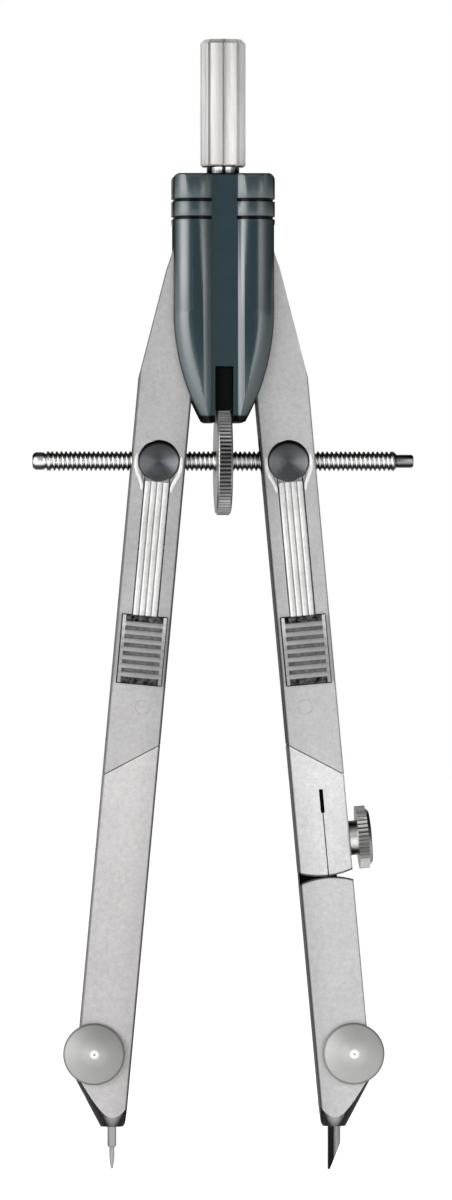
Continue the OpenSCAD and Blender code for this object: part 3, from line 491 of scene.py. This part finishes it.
def lever_nickel(name, colour, edge):
    """Fluted arms and ribbed pads: painted shade in the pad's grooves, at its two ends and where surfaces
    turn away, the pad darker overall, and a painted highlight on its side rails towards its top.
    """
    finish = Finish(name, metallic=1.0)
    tree = finish.tree
    grain = finish.group(GRAIN, Speckle=0.8, Clouds=0.5, Rough=0.66)
    facing = finish.group(FACING, Start=0.1, Full=0.9, Edge=edge, Side=0.8)
    depth = finish.axis(1)
    across, along = leg_places(finish)
    # Painted shade in the pad's grooves, deeper at its two ends, in patches along the pad.
    pad = map_range(tree, along, PAD_TOP + 0.1 * MM, PAD_TOP - 0.1 * MM)
    low = map_range(tree, depth, RIB_CREST, RIB_ROOT)
    ends = one_less(tree, window(tree, along, RIBS_FOOT, RIBS_TOP, 0.25 * MM))
    groove = times(tree, low, math_node(tree, "MULTIPLY_ADD", ends, 0.3, 0.55))
    groove_patches = math_node(tree, "MULTIPLY_ADD", noise(tree, finish.place, 1300.0, 3.0, 0.7), 1.7, 0.1)
    groove = times(tree, groove, times(tree, pad, groove_patches))
    # The pad darker overall, with a painted highlight on its side rails towards its top.
    rails = map_range(tree, along, PAD_MIDDLE, PAD_TOP - 0.8 * MM, 0.5, 0.16)
    off = math_node(tree, "ABSOLUTE", math_node(tree, "SUBTRACT", across, HEAD_ACROSS))
    middle = map_range(tree, off, 2.7 * MM, 2.95 * MM, 0.5, rails)
    pad_darkening = times(tree, pad, middle)
    tone = times(tree, grain["Tone"], facing["Tone"])
    tone = times(tree, tone, one_less(tree, groove))
    tone = times(tree, tone, one_less(tree, pad_darkening))
    finish.tint(colour, tone)
    finish.feed("Roughness", grain["Roughness"])
    finish.calm((0.4, 1.0, 0.45))
    finish.bump(grain["Height"], 0.000012)
    return finish.material


def turned_handle():
    """Satin bar with lengthwise streaks, painted shade on its grip lines, painted light on one side and
    painted highlights along both sides, and a polished neck at its foot with a painted reflection: black
    between its bright bands."""
    finish = Finish("turned_handle", metallic=1.0)
    tree = finish.tree
    grain = finish.group(GRAIN, Speckle=0.3, Clouds=0.1, Rough=0.58)
    height = finish.axis(2)
    round_about = math_node(tree, "ARCTAN2", finish.axis(0), finish.axis(1))
    # Painted shade in dark lines round the bar where its grip lines run.
    grip = math_node(tree, "COSINE", times(tree, round_about, GRIP_LINES))
    grip = map_range(tree, grip, -0.6, -0.96)
    band = math_node(tree, "COSINE", times(tree, round_about, NECK_BANDS))
    band = map_range(tree, band, -0.62, -0.8)
    strip = tree.nodes.new("ShaderNodeCombineXYZ")
    tree.links.new(math_node(tree, "SINE", round_about), strip.inputs[0])
    tree.links.new(math_node(tree, "COSINE", round_about), strip.inputs[1])
    tree.links.new(times(tree, height, 12.0), strip.inputs[2])
    streak = math_node(tree, "SUBTRACT", noise(tree, strip.outputs[0], 9.0, 3.0), 0.5)
    neck = map_range(tree, height, COVER_TOP + 1.3 * MM, COVER_TOP + 1.0 * MM)
    tone = fade(tree, grain["Tone"], streak, 0.5)
    tone = fade(tree, tone, grip, -0.42)
    # Painted light: lighter towards +X and darker towards -X.
    tone = times(tree, tone, map_range(tree, finish.axis(0), -2.4 * MM, 3.2 * MM, 0.7, 1.9))
    tone = fade(tree, tone, neck, 0.8)
    # Painted highlights along both sides, where the bar rolls away.
    rim = finish.group(FACING, Start=0.35, Full=0.8, Edge=1.7, Side=1.7)["Tone"]
    tone = math_node(tree, "MINIMUM", times(tree, tone, rim), 2.0)
    # Painted reflection on the neck: bright bands where it faces front, black between and around them.
    turned_off = finish.group(FACING, Start=0.62, Full=0.74, Edge=0.0, Side=0.0)["Tone"]
    neck_glints = times(tree, turned_off, one_less(tree, band))
    dark = times(tree, neck, one_less(tree, neck_glints))
    tone = fade(tree, tone, dark, -0.95)
    # Less metal where the bar rolls away, so that the painted highlights read pale.
    pale = finish.group(FACING, Start=0.45, Full=0.8, Edge=0.3, Side=0.3)["Tone"]
    finish.feed("Metallic", math_node(tree, "MAXIMUM", pale, neck))
    finish.tint((0.44, 0.433, 0.427), tone)
    finish.feed("Roughness", math_node(tree, "MULTIPLY_ADD", neck, -0.3, grain["Roughness"]))
    finish.bump(streak, 0.00002)
    return finish.material


def plain_steel(name="plain_steel", colour=(0.42, 0.425, 0.43), rough=0.36, edge=0.5, side=0.8, neck=None):
    """Plain machined steel with painted shade where it rolls over. A neck (place across the leg where it
    ends) has a painted highlight along its middle and black painted shade above and below."""
    finish = Finish(name, metallic=1.0)
    tree = finish.tree
    grain = finish.group(GRAIN, Speckle=0.45, Clouds=0.25, Rough=rough)
    facing = finish.group(FACING, Start=0.2, Full=0.95, Edge=edge, Side=side)
    tone = times(tree, grain["Tone"], facing["Tone"])
    if neck is not None:
        # Painted light and shade on the neck: bright where it faces level, black where it faces up or down.
        upright = math_node(tree, "ABSOLUTE", finish.normal(2))
        neck_light_and_shade = map_range(tree, upright, 0.25, 0.8, 1.5, 0.05)
        near = map_range(tree, leg_places(finish)[0], neck + 0.05 * MM, neck - 0.05 * MM)
        change = times(tree, near, math_node(tree, "SUBTRACT", neck_light_and_shade, 1.0))
        tone = times(tree, tone, math_node(tree, "ADD", change, 1.0))
    finish.tint(colour, tone)
    finish.feed("Roughness", grain["Roughness"])
    finish.bump(grain["Height"], 0.000012)
    return finish.material


def threaded_steel():
    """Cut thread: painted shade in the roots, bright crests along the middle, and painted shade above, below
    and on the dog point.
    """
    finish = Finish("threaded_steel", metallic=1.0)
    tree = finish.tree
    grain = finish.group(GRAIN, Speckle=0.4, Clouds=0.3, Rough=0.4)
    axle = finish.group(RINGS, Centre=(0, 0, SPINDLE_Z), Flatten=(0, 1, 1), Pitch=0.0003)
    # Painted shade in the thread's roots.
    crest = map_range(tree, axle["Distance"], 1.12 * MM, 1.42 * MM, 0.62, 1.0)
    # Painted light along the middle of the bar, painted shade above and below it.
    off = math_node(tree, "ABSOLUTE", math_node(tree, "SUBTRACT", finish.axis(2), SPINDLE_Z))
    painted_light_and_shade = map_range(tree, math_node(tree, "DIVIDE", off, axle["Distance"]), 0.2, 0.64, 1.0, 0.04)
    tone = times(tree, grain["Tone"], times(tree, crest, painted_light_and_shade))
    # Painted shade on the dog point.
    point = map_range(tree, finish.axis(0), 25.6 * MM, 26.3 * MM, 1.0, 0.4)
    tone = times(tree, tone, point)
    finish.tint((0.9, 0.9, 0.885), tone)
    finish.feed("Roughness", grain["Roughness"])
    finish.bump(grain["Height"], 0.000008)
    return finish.material


def turned_steel(name, colour, centre, flatten, pitch, rough, depth,
                 fan=0.0, bands=(), down_shade=0.0, cloud=0.2, teeth_wear_and_shade=0.0):
    """Faced or domed metal with lathe rings round its own centre. A fan spreads the gloss across the rings,
    each band (radius, radius, tone, tone) paints highlight and shade as a tone from one radius to the next, a
    down shade paints shade on what faces down and a black crescent of painted shadow under the upper edge,
    and the teeth setting makes the teeth uneven between two plain rims, with painted shade above and below."""
    finish = Finish(name, metallic=1.0, Anisotropic=fan)
    tree = finish.tree
    grain = finish.group(GRAIN, Speckle=0.35, Clouds=cloud, Rough=rough)
    ring = finish.group(RINGS, Centre=centre, Flatten=flatten, Pitch=pitch)
    marks = math_node(tree, "MULTIPLY_ADD", ring["Ring"], 0.1, 0.95)
    tone = times(tree, grain["Tone"], marks)
    for near, far, first, last in bands:
        tone = times(tree, tone, map_range(tree, ring["Distance"], near, far, first, last))
    if down_shade:
        # Painted shade on what faces down, and a black crescent of painted shadow under the upper edge.
        tone = times(tree, tone, map_range(tree, finish.normal(2), -0.42, 0.12, 1.0 - down_shade, 1.0))
        below = (centre[0], centre[1], centre[2] - 0.5 * MM)
        crescent = finish.group(RINGS, Centre=below, Flatten=flatten)["Distance"]
        tone = times(tree, tone, map_range(tree, crescent, 2.85 * MM, 3.3 * MM, 1.0, 0.06))
    if teeth_wear_and_shade:
        stretch = add(tree, "ShaderNodeMapping")
        stretch.inputs["Scale"].default_value = (0.12, 1.0, 1.0)
        tree.links.new(finish.place, stretch.inputs["Vector"])
        patch = math_node(tree, "SUBTRACT", noise(tree, stretch.outputs[0], 900.0, 3.0, 0.7), 0.5)
        teeth = map_range(tree, ring["Distance"], TEETH_R - 0.1 * MM, TEETH_R + 0.1 * MM)
        patch = times(tree, patch, teeth)
        tone = fade(tree, tone, patch, teeth_wear_and_shade)
        out = math_node(tree, "ABSOLUTE", finish.axis(0))
        plain = map_range(tree, out, TEETH_HALF - 0.04 * MM, TEETH_HALF + 0.04 * MM)
        plain = times(tree, teeth, plain)
        tone = fade(tree, tone, plain, 0.15)
        # Painted shade on the teeth: dark where they face up in the slot and where they face down.
        upward = finish.normal(2)
        tone = times(tree, tone, map_range(tree, upward, 0.6, 0.92, 1.0, 0.12))
        tone = times(tree, tone, map_range(tree, upward, -0.8, 0.05, 0.3, 1.0))
    if fan:
        spoke = add(tree, "ShaderNodeVectorMath", operation="SUBTRACT")
        tree.links.new(finish.place, spoke.inputs[0])
        spoke.inputs[1].default_value = centre
        tree.links.new(spoke.outputs[0], finish.shader.inputs["Tangent"])
    finish.tint(colour, tone)
    finish.feed("Roughness", math_node(tree, "MULTIPLY_ADD", ring["Ring"], 0.06, grain["Roughness"]))
    finish.bump(ring["Ring"], depth)
    return finish.material


def moulded_plastic():
    """Dark blue-green moulding: soft orange peel, faint flow clouds and fine dust. It is smooth where it
    faces front or back, softer on the columns' flanks and duller at its crown and towards its foot; painted
    shade turns it black in its grooves, along its rims and where it rolls over."""
    finish = Finish("moulded_plastic", metallic=0.0, IOR=1.7, Coat_IOR=1.65, Coat_Roughness=0.36)
    tree = finish.tree
    cloud = noise(tree, finish.place, 260.0, 3.0)
    peel = noise(tree, finish.place, 1500.0, 2.0)
    dust = noise(tree, finish.place, 6500.0, 1.0)
    speck = times(tree, math_node(tree, "GREATER_THAN", dust, 0.74), 0.35)
    height = finish.axis(2)
    # Painted shade: black where the cover rolls over, in its grooves and along its top and foot rims.
    bright = finish.group(FACING, Start=0.3, Full=0.55, Edge=0.0, Side=0.6)["Tone"]
    out = math_node(tree, "ABSOLUTE", finish.axis(0))
    out = map_range(tree, out, STRIP_HALF - 0.05 * MM, STRIP_HALF + 0.05 * MM)
    for low in GROOVES_Z:
        cut = window(tree, height, low, low + GROOVE_W, 0.12 * MM)
        cut = times(tree, cut, out)
        bright = times(tree, bright, one_less(tree, cut))
    rims = window(tree, height, FOOT_Z + 1.25 * MM, COVER_TOP - 0.4 * MM, 0.35 * MM)
    bright = times(tree, bright, rims)
    tone = math_node(tree, "ADD", math_node(tree, "MULTIPLY_ADD", cloud, 0.3, 0.85), speck)
    tone = times(tree, tone, math_node(tree, "MULTIPLY_ADD", bright, 0.9, 0.1))
    finish.tint((0.012, 0.031, 0.038), tone)
    crown = map_range(tree, height, GROOVES_Z[0] - 0.6 * MM, GROOVES_Z[0] + 0.4 * MM)
    taper = map_range(tree, height, TAPER_TOP, TAPER_FOOT)
    front = finish.group(FACING, Start=0.88, Full=0.998, Edge=0.0, Side=0.0)["Tone"]
    front = fade(tree, front, times(tree, crown, out), -0.4)
    rough = math_node(tree, "MULTIPLY_ADD", crown, 0.06, math_node(tree, "MULTIPLY_ADD", cloud, 0.08, 0.41))
    rough = math_node(tree, "MULTIPLY_ADD", taper, 0.06, rough)
    to_smooth = math_node(tree, "SUBTRACT", 0.18, rough)
    finish.feed("Roughness", math_node(tree, "MULTIPLY_ADD", front, to_smooth, rough))
    # Painted shade stays black: metal with the dark base wherever the shade is painted.
    finish.feed("Metallic", math_node(tree, "MULTIPLY_ADD", bright, -0.9, 0.9))
    coat = times(tree, bright, math_node(tree, "MULTIPLY_ADD", front, -0.85, 0.85))
    coat = fade(tree, coat, crown, -0.55)
    coat = fade(tree, coat, taper, -0.6)
    finish.feed("Coat Weight", coat)
    finish.bump(peel, 0.000012)
    return finish.material


def graphite():
    """Pressed lead with lengthwise drag marks, with black painted shade on one side and a painted highlight
    on the other.
    """
    finish = Finish("graphite", metallic=1.0)
    tree = finish.tree
    # Painted shade on the -X side of the lead and a painted highlight on its +X side.
    painted_light_and_shade = map_range(tree, finish.axis(0), LEAD_X - 0.2 * MM, LEAD_X + 0.08 * MM, 0.03, 1.0)
    stretch = add(tree, "ShaderNodeMapping")
    stretch.inputs["Scale"].default_value = (1.0, 1.0, 0.06)
    tree.links.new(finish.place, stretch.inputs["Vector"])
    drag = noise(tree, stretch.outputs[0], 6000.0, 3.0)
    grain = noise(tree, finish.place, 5000.0, 2.0)
    tone = times(tree, math_node(tree, "MULTIPLY_ADD", drag, 0.8, 0.6), painted_light_and_shade)
    finish.tint((0.2, 0.2, 0.205), tone)
    finish.feed("Roughness", math_node(tree, "MULTIPLY_ADD", grain, 0.16, 0.14))
    finish.bump(drag, 0.00001)
    return finish.material


def black_felt():
    """Dense pressed fibre: matted noise with a little grey lint."""
    finish = Finish("black_felt", metallic=0.0, Sheen_Weight=0.02, Specular_IOR_Level=0.1)
    tree = finish.tree
    mat = noise(tree, finish.place, 4200.0, 4.0, 0.7)
    finish.tint((0.0025, 0.0025, 0.003), math_node(tree, "MULTIPLY_ADD", mat, 1.4, 0.3))
    finish.feed("Roughness", math_node(tree, "MULTIPLY_ADD", mat, 0.1, 0.88))
    finish.bump(mat, 0.00015)
    return finish.material


def leg_place(side, across, along):
    """A leg's place as a point on the middle plane."""
    x, z = leg_to_row(side, across, along)
    return x, 0.0, z


# Lit and shaded copies of one satin nickel: the darker tints on the upper legs and lighter ones lower down
# are painted shade and light.
LEFT_UPPER = satin_nickel("left_upper_nickel", (0.429, 0.423, 0.423))
RIGHT_UPPER = satin_nickel("right_upper_nickel", (0.458, 0.453, 0.453))
LEFT_SHIN = satin_nickel("left_shin_nickel", (0.516, 0.505, 0.505))
SOCKET = satin_nickel("socket_nickel", (0.606, 0.601, 0.601), SOCKET_ARCH)
INSERT = satin_nickel("insert_nickel", (0.534, 0.529, 0.529), INSERT_ARCH, shank=True)
LEVER = lever_nickel("lever_nickel", (0.64, 0.64, 0.635), 0.72)
RIDGE = lever_nickel("ridge_nickel", (0.68, 0.68, 0.67), 0.7)
STEEL = plain_steel()
SPINDLE = threaded_steel()
KNOB = plain_steel("knob_steel", (0.4, 0.4, 0.392), 0.36, 0.12, 0.3, neck=KNOB_NECK)
# Wheel: painted shade round the hub and in the teeth, a painted highlight on their tips, and painted shade
# above and below.
WHEEL = turned_steel(
    "wheel_steel", (0.28, 0.28, 0.275), (0, 0, SPINDLE_Z), (0, 1, 1), 0.00035, 0.38, 0.000006,
    bands=((1.9 * MM, 2.4 * MM, 0.35, 1.0), (7.5 * MM, 7.7 * MM, 1.0, 0.3), (7.92 * MM, 8.2 * MM, 1.0, 4.4)),
    teeth_wear_and_shade=2.2)
NEEDLE = plain_steel("needle_steel", (0.29, 0.29, 0.29), 0.26, 0.02, 0.05)
PLASTIC = moulded_plastic()
GRAPHITE = graphite()
FELT = black_felt()
HANDLE = turned_handle()

finishes = {
    "handle": HANDLE, "head_cover": PLASTIC, "lead": GRAPHITE, "needle": NEEDLE, "socket_screw": KNOB,
    "adjusting_wheel": WHEEL, "slot_felt": FELT, "left_upper_leg": LEFT_UPPER, "right_upper_leg": RIGHT_UPPER,
    "left_knee_pin": LEFT_UPPER, "right_knee_pin": RIGHT_UPPER, "left_lever_pin": LEFT_UPPER,
    "right_lever_pin": RIGHT_UPPER, "needle_leg": LEFT_SHIN, "socket_leg": SOCKET,
    "lead_insert": INSERT, "left_release_lever": LEVER, "right_release_lever": LEVER,
}
for side, word in ((-1, "left"), (1, "right")):
    # Half nuts: painted shade round the outer rim and in the middle, and painted shade and shadow on what
    # faces down.
    centre = leg_place(side, HEAD_ACROSS, HEAD_ALONG)
    finishes[word + "_half_nut"] = turned_steel(
        word + "_dished_steel", (0.12, 0.122, 0.132), centre, (1, 0, 1), 0.00022, 0.42, 0.000008,
        fan=0.75, down_shade=0.7, cloud=1.6,
        bands=((2.9 * MM, 3.2 * MM, 1.0, 0.4), (0.0 * MM, 1.9 * MM, 0.6, 1.0)))
# Clamp screws: the lead's one is a lighter copy, painted light. Painted shade in a small centre dot, darker
# outwards and round the rim, and a painted highlight ring round the centre.
for side, word, grey in ((-1, "needle", 0.43), (1, "lead", 0.48)):
    centre = leg_place(side, SCREW_ACROSS, SCREW_ALONG)
    finishes[word + "_clamp_screw"] = turned_steel(
        word + "_screw_steel", (grey, grey, 0.98 * grey), centre, (1, 0, 1), 0.00042, 0.7, 0.00001, fan=0.3,
        bands=((0.12 * MM, 0.24 * MM, 0.4, 1.0), (0.4 * MM, 0.9 * MM, 1.8, 1.0),
               (0.6 * MM, 2.6 * MM, 1.08, 0.9), (4.3 * MM, 4.6 * MM, 1.0, 0.5)))

# Edges and finishes of the solids

# Width of the rolled edges, in millimetres
PLAIN_EDGE = 0.14
EDGE = {"head_cover": 0.16, "handle": 0.06, "adjusting_wheel": 0.05, "socket_screw": 0.06,
        "needle_clamp_screw": 0.12, "lead_clamp_screw": 0.12}
for name, solid in nodes.items():
    solid.data.materials.clear()
    solid.data.materials.append(finishes.get(name, STEEL))
    weld = solid.modifiers.new("weld", "WELD")
    weld.merge_threshold = 0.002 * MM
    if name.endswith(("spring", "needle", "lead", "spindle", "felt", "stud")):
        continue
    bevel = solid.modifiers.new("edge", "BEVEL")
    bevel.width = EDGE.get(name, PLAIN_EDGE) * MM
    bevel.segments = 2
    bevel.limit_method = "ANGLE"
    bevel.angle_limit = math.radians(50 if name == "head_cover" else 38)
    bevel.use_clamp_overlap = True
    bevel.harden_normals = False

# Drawn pieces

points = spindle_points()
faces = ring_faces(*points.shape[:2])
spindle = mesh_piece("spindle_thread", points, faces, "spindle", SPINDLE, 50)
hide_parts("spindle")

points = felt_points()[::-1]
faces = ring_faces(*points.shape[:2])
felt = mesh_piece("slot_felt_pad", points, faces, "head", FELT, 50)
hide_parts("slot_felt")
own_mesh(felt)

for side, word in ((-1, "left"), (1, "right")):
    points = spring_points(side)
    faces = ring_faces(*points.shape[:2])
    spring = mesh_piece(word + "_coil", points, faces, word + "_leg", STEEL)
    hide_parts(word + "_lever_spring")
    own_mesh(spring)
    for hand, edge in ((-1, "inner"), (1, "outer")):
        points = funnel_points(side, hand)
        faces = ring_faces(*points.shape[:2])
        if side * hand < 0:
            faces = [face[::-1] for face in faces]
        mesh_piece("%s_%s_ridge" % (word, edge), points, faces, word + "_leg", RIDGE)

# Floor, world, lamps and camera


def bright_rays(tree):
    """1 for what the camera sees, in gloss and through glass too, and 0 for what lights other things."""
    ray = tree.nodes.new("ShaderNodeLightPath")
    seen = math_node(tree, "MAXIMUM", ray.outputs["Is Camera Ray"], ray.outputs["Is Glossy Ray"])
    return math_node(tree, "MAXIMUM", seen, ray.outputs["Is Transmission Ray"])


def stage_material(name, colour):
    """Pale paper that shows white to the camera, to gloss and through glass, and still takes shadows."""
    finish = Finish(name, metallic=0.0)
    tree = finish.tree
    grain = noise(tree, finish.place, 300.0, 2.0)
    finish.tint(colour, math_node(tree, "MULTIPLY_ADD", grain, 0.02, 0.99))
    finish.feed("Roughness", math_node(tree, "MULTIPLY_ADD", grain, 0.05, 0.85))
    lift = add(tree, "ShaderNodeEmission", i_Color=(1, 1, 1, 1))
    tree.links.new(times(tree, bright_rays(tree), 0.82), lift.inputs["Strength"])
    both = tree.nodes.new("ShaderNodeAddShader")
    tree.links.new(finish.shader.outputs[0], both.inputs[0])
    tree.links.new(lift.outputs[0], both.inputs[1])
    tree.links.new(both.outputs[0], tree.nodes["Material Output"].inputs["Surface"])
    return finish.material


def sheet(name, corners, material):
    """A flat four-cornered sheet of the stage."""
    mesh = bpy.data.meshes.new(name)
    mesh.from_pydata(corners, [], [(0, 1, 2, 3)])
    mesh.materials.append(material)
    piece = bpy.data.objects.new(name, mesh)
    bpy.context.scene.collection.objects.link(piece)
    return piece


def studio_world():
    """White to the camera, to gloss and through glass; a plain grey level to everything else."""
    world = bpy.data.worlds.new("studio")
    bpy.context.scene.world = world
    world.use_nodes = True
    tree = world.node_tree
    tree.nodes.clear()
    white = add(tree, "ShaderNodeBackground", i_Color=(1, 1, 1, 1), i_Strength=1.0)
    grey = add(tree, "ShaderNodeBackground", i_Color=(1, 1, 1, 1), i_Strength=0.22)
    mix = tree.nodes.new("ShaderNodeMixShader")
    tree.links.new(bright_rays(tree), mix.inputs[0])
    tree.links.new(grey.outputs[0], mix.inputs[1])
    tree.links.new(white.outputs[0], mix.inputs[2])
    out = tree.nodes.new("ShaderNodeOutputWorld")
    tree.links.new(mix.outputs[0], out.inputs["Surface"])


def softbox(name, place, target, size, power):
    """A rectangular lamp that looks at a target."""
    lamp = bpy.data.lights.new(name, "AREA")
    lamp.shape = "RECTANGLE"
    lamp.size, lamp.size_y = size
    lamp.energy = power
    box = bpy.data.objects.new(name, lamp)
    box.location = place
    box.visible_camera = False
    box.rotation_euler = (Vector(target) - Vector(place)).to_track_quat("-Z", "Y").to_euler()
    bpy.context.scene.collection.objects.link(box)


def dim_room(level):
    """Front and sides of a ball round the stage, at (r cos e sin a, -r cos e cos a, r sin e): the dim room
    behind the camera, which only gloss sees."""
    radius, columns, rows = 2.6, 29, 15
    turn = np.radians(np.linspace(-158, 158, columns))[:, None]
    rise = np.radians(np.linspace(0, 89, rows))[None, :]
    x, y = np.cos(rise) * np.sin(turn), -np.cos(rise) * np.cos(turn)
    points = radius * np.stack([x, y, np.broadcast_to(np.sin(rise), x.shape)], axis=-1)
    i, j = np.meshgrid(np.arange(columns - 1), np.arange(rows - 1), indexing="ij")
    corner = (i * rows + j).ravel()
    faces = np.stack([corner, corner + 1, corner + rows + 1, corner + rows], axis=-1)
    mesh = bpy.data.meshes.new("dim_room")
    mesh.from_pydata(points.reshape(-1, 3).tolist(), [], faces.tolist())
    material = bpy.data.materials.new("dim_room")
    material.use_nodes = True
    shader = material.node_tree.nodes["Principled BSDF"]
    shader.inputs["Base Color"].default_value = (0, 0, 0, 1)
    shader.inputs["Specular IOR Level"].default_value = 0.0
    shader.inputs["Emission Strength"].default_value = level
    tree = material.node_tree
    parts = tree.nodes.new("ShaderNodeSeparateXYZ")
    tree.links.new(tree.nodes.new("ShaderNodeTexCoord").outputs["Object"], parts.inputs[0])
    tree.links.new(map_range(tree, parts.outputs[1], -1.9, 0.3, 1.0, 0.12), shader.inputs["Emission Color"])
    mesh.materials.append(material)
    room = bpy.data.objects.new("dim_room", mesh)
    bpy.context.scene.collection.objects.link(room)
    room.visible_camera = room.visible_diffuse = room.visible_shadow = room.visible_transmission = False


def photo_camera():
    """Long lens at the photograph's height, three degrees to the left of square on."""
    centre = (0.46 * MM, 0.0, 86.9 * MM)
    reach, azimuth, tall = 1.4, math.radians(-3.0), 0.1832
    camera = bpy.data.cameras.new("camera")
    camera.sensor_fit = "VERTICAL"
    camera.sensor_height = 36.0
    camera.lens = 36.0 * reach / tall
    camera.clip_end = 20.0
    rig = bpy.data.objects.new("camera", camera)
    rig.location = (centre[0] + reach * math.sin(azimuth), -reach * math.cos(azimuth), centre[2])
    rig.rotation_euler = (math.radians(90), 0, azimuth)
    bpy.context.scene.collection.objects.link(rig)
    bpy.context.scene.camera = rig


paper = stage_material("paper", (0.93, 0.93, 0.93))
sheet("floor", [(-3, -3, 0), (3, -3, 0), (3, 3, 0), (-3, 3, 0)], paper)
studio_world()
dim_room(0.2)
softbox("left_softbox", (-0.645, -0.36, 0.2), (0, 0, 0.1), (0.56, 0.6), 7.8)
softbox("right_softbox", (0.48, -0.55, 0.2), (0, 0, 0.1), (0.3, 0.6), 1.9)
softbox("top_softbox", (0.0, -0.3, 0.8), (0, 0, 0.09), (0.5, 0.4), 0.5)
photo_camera()
bpy.context.scene.view_settings.view_transform = "Standard"
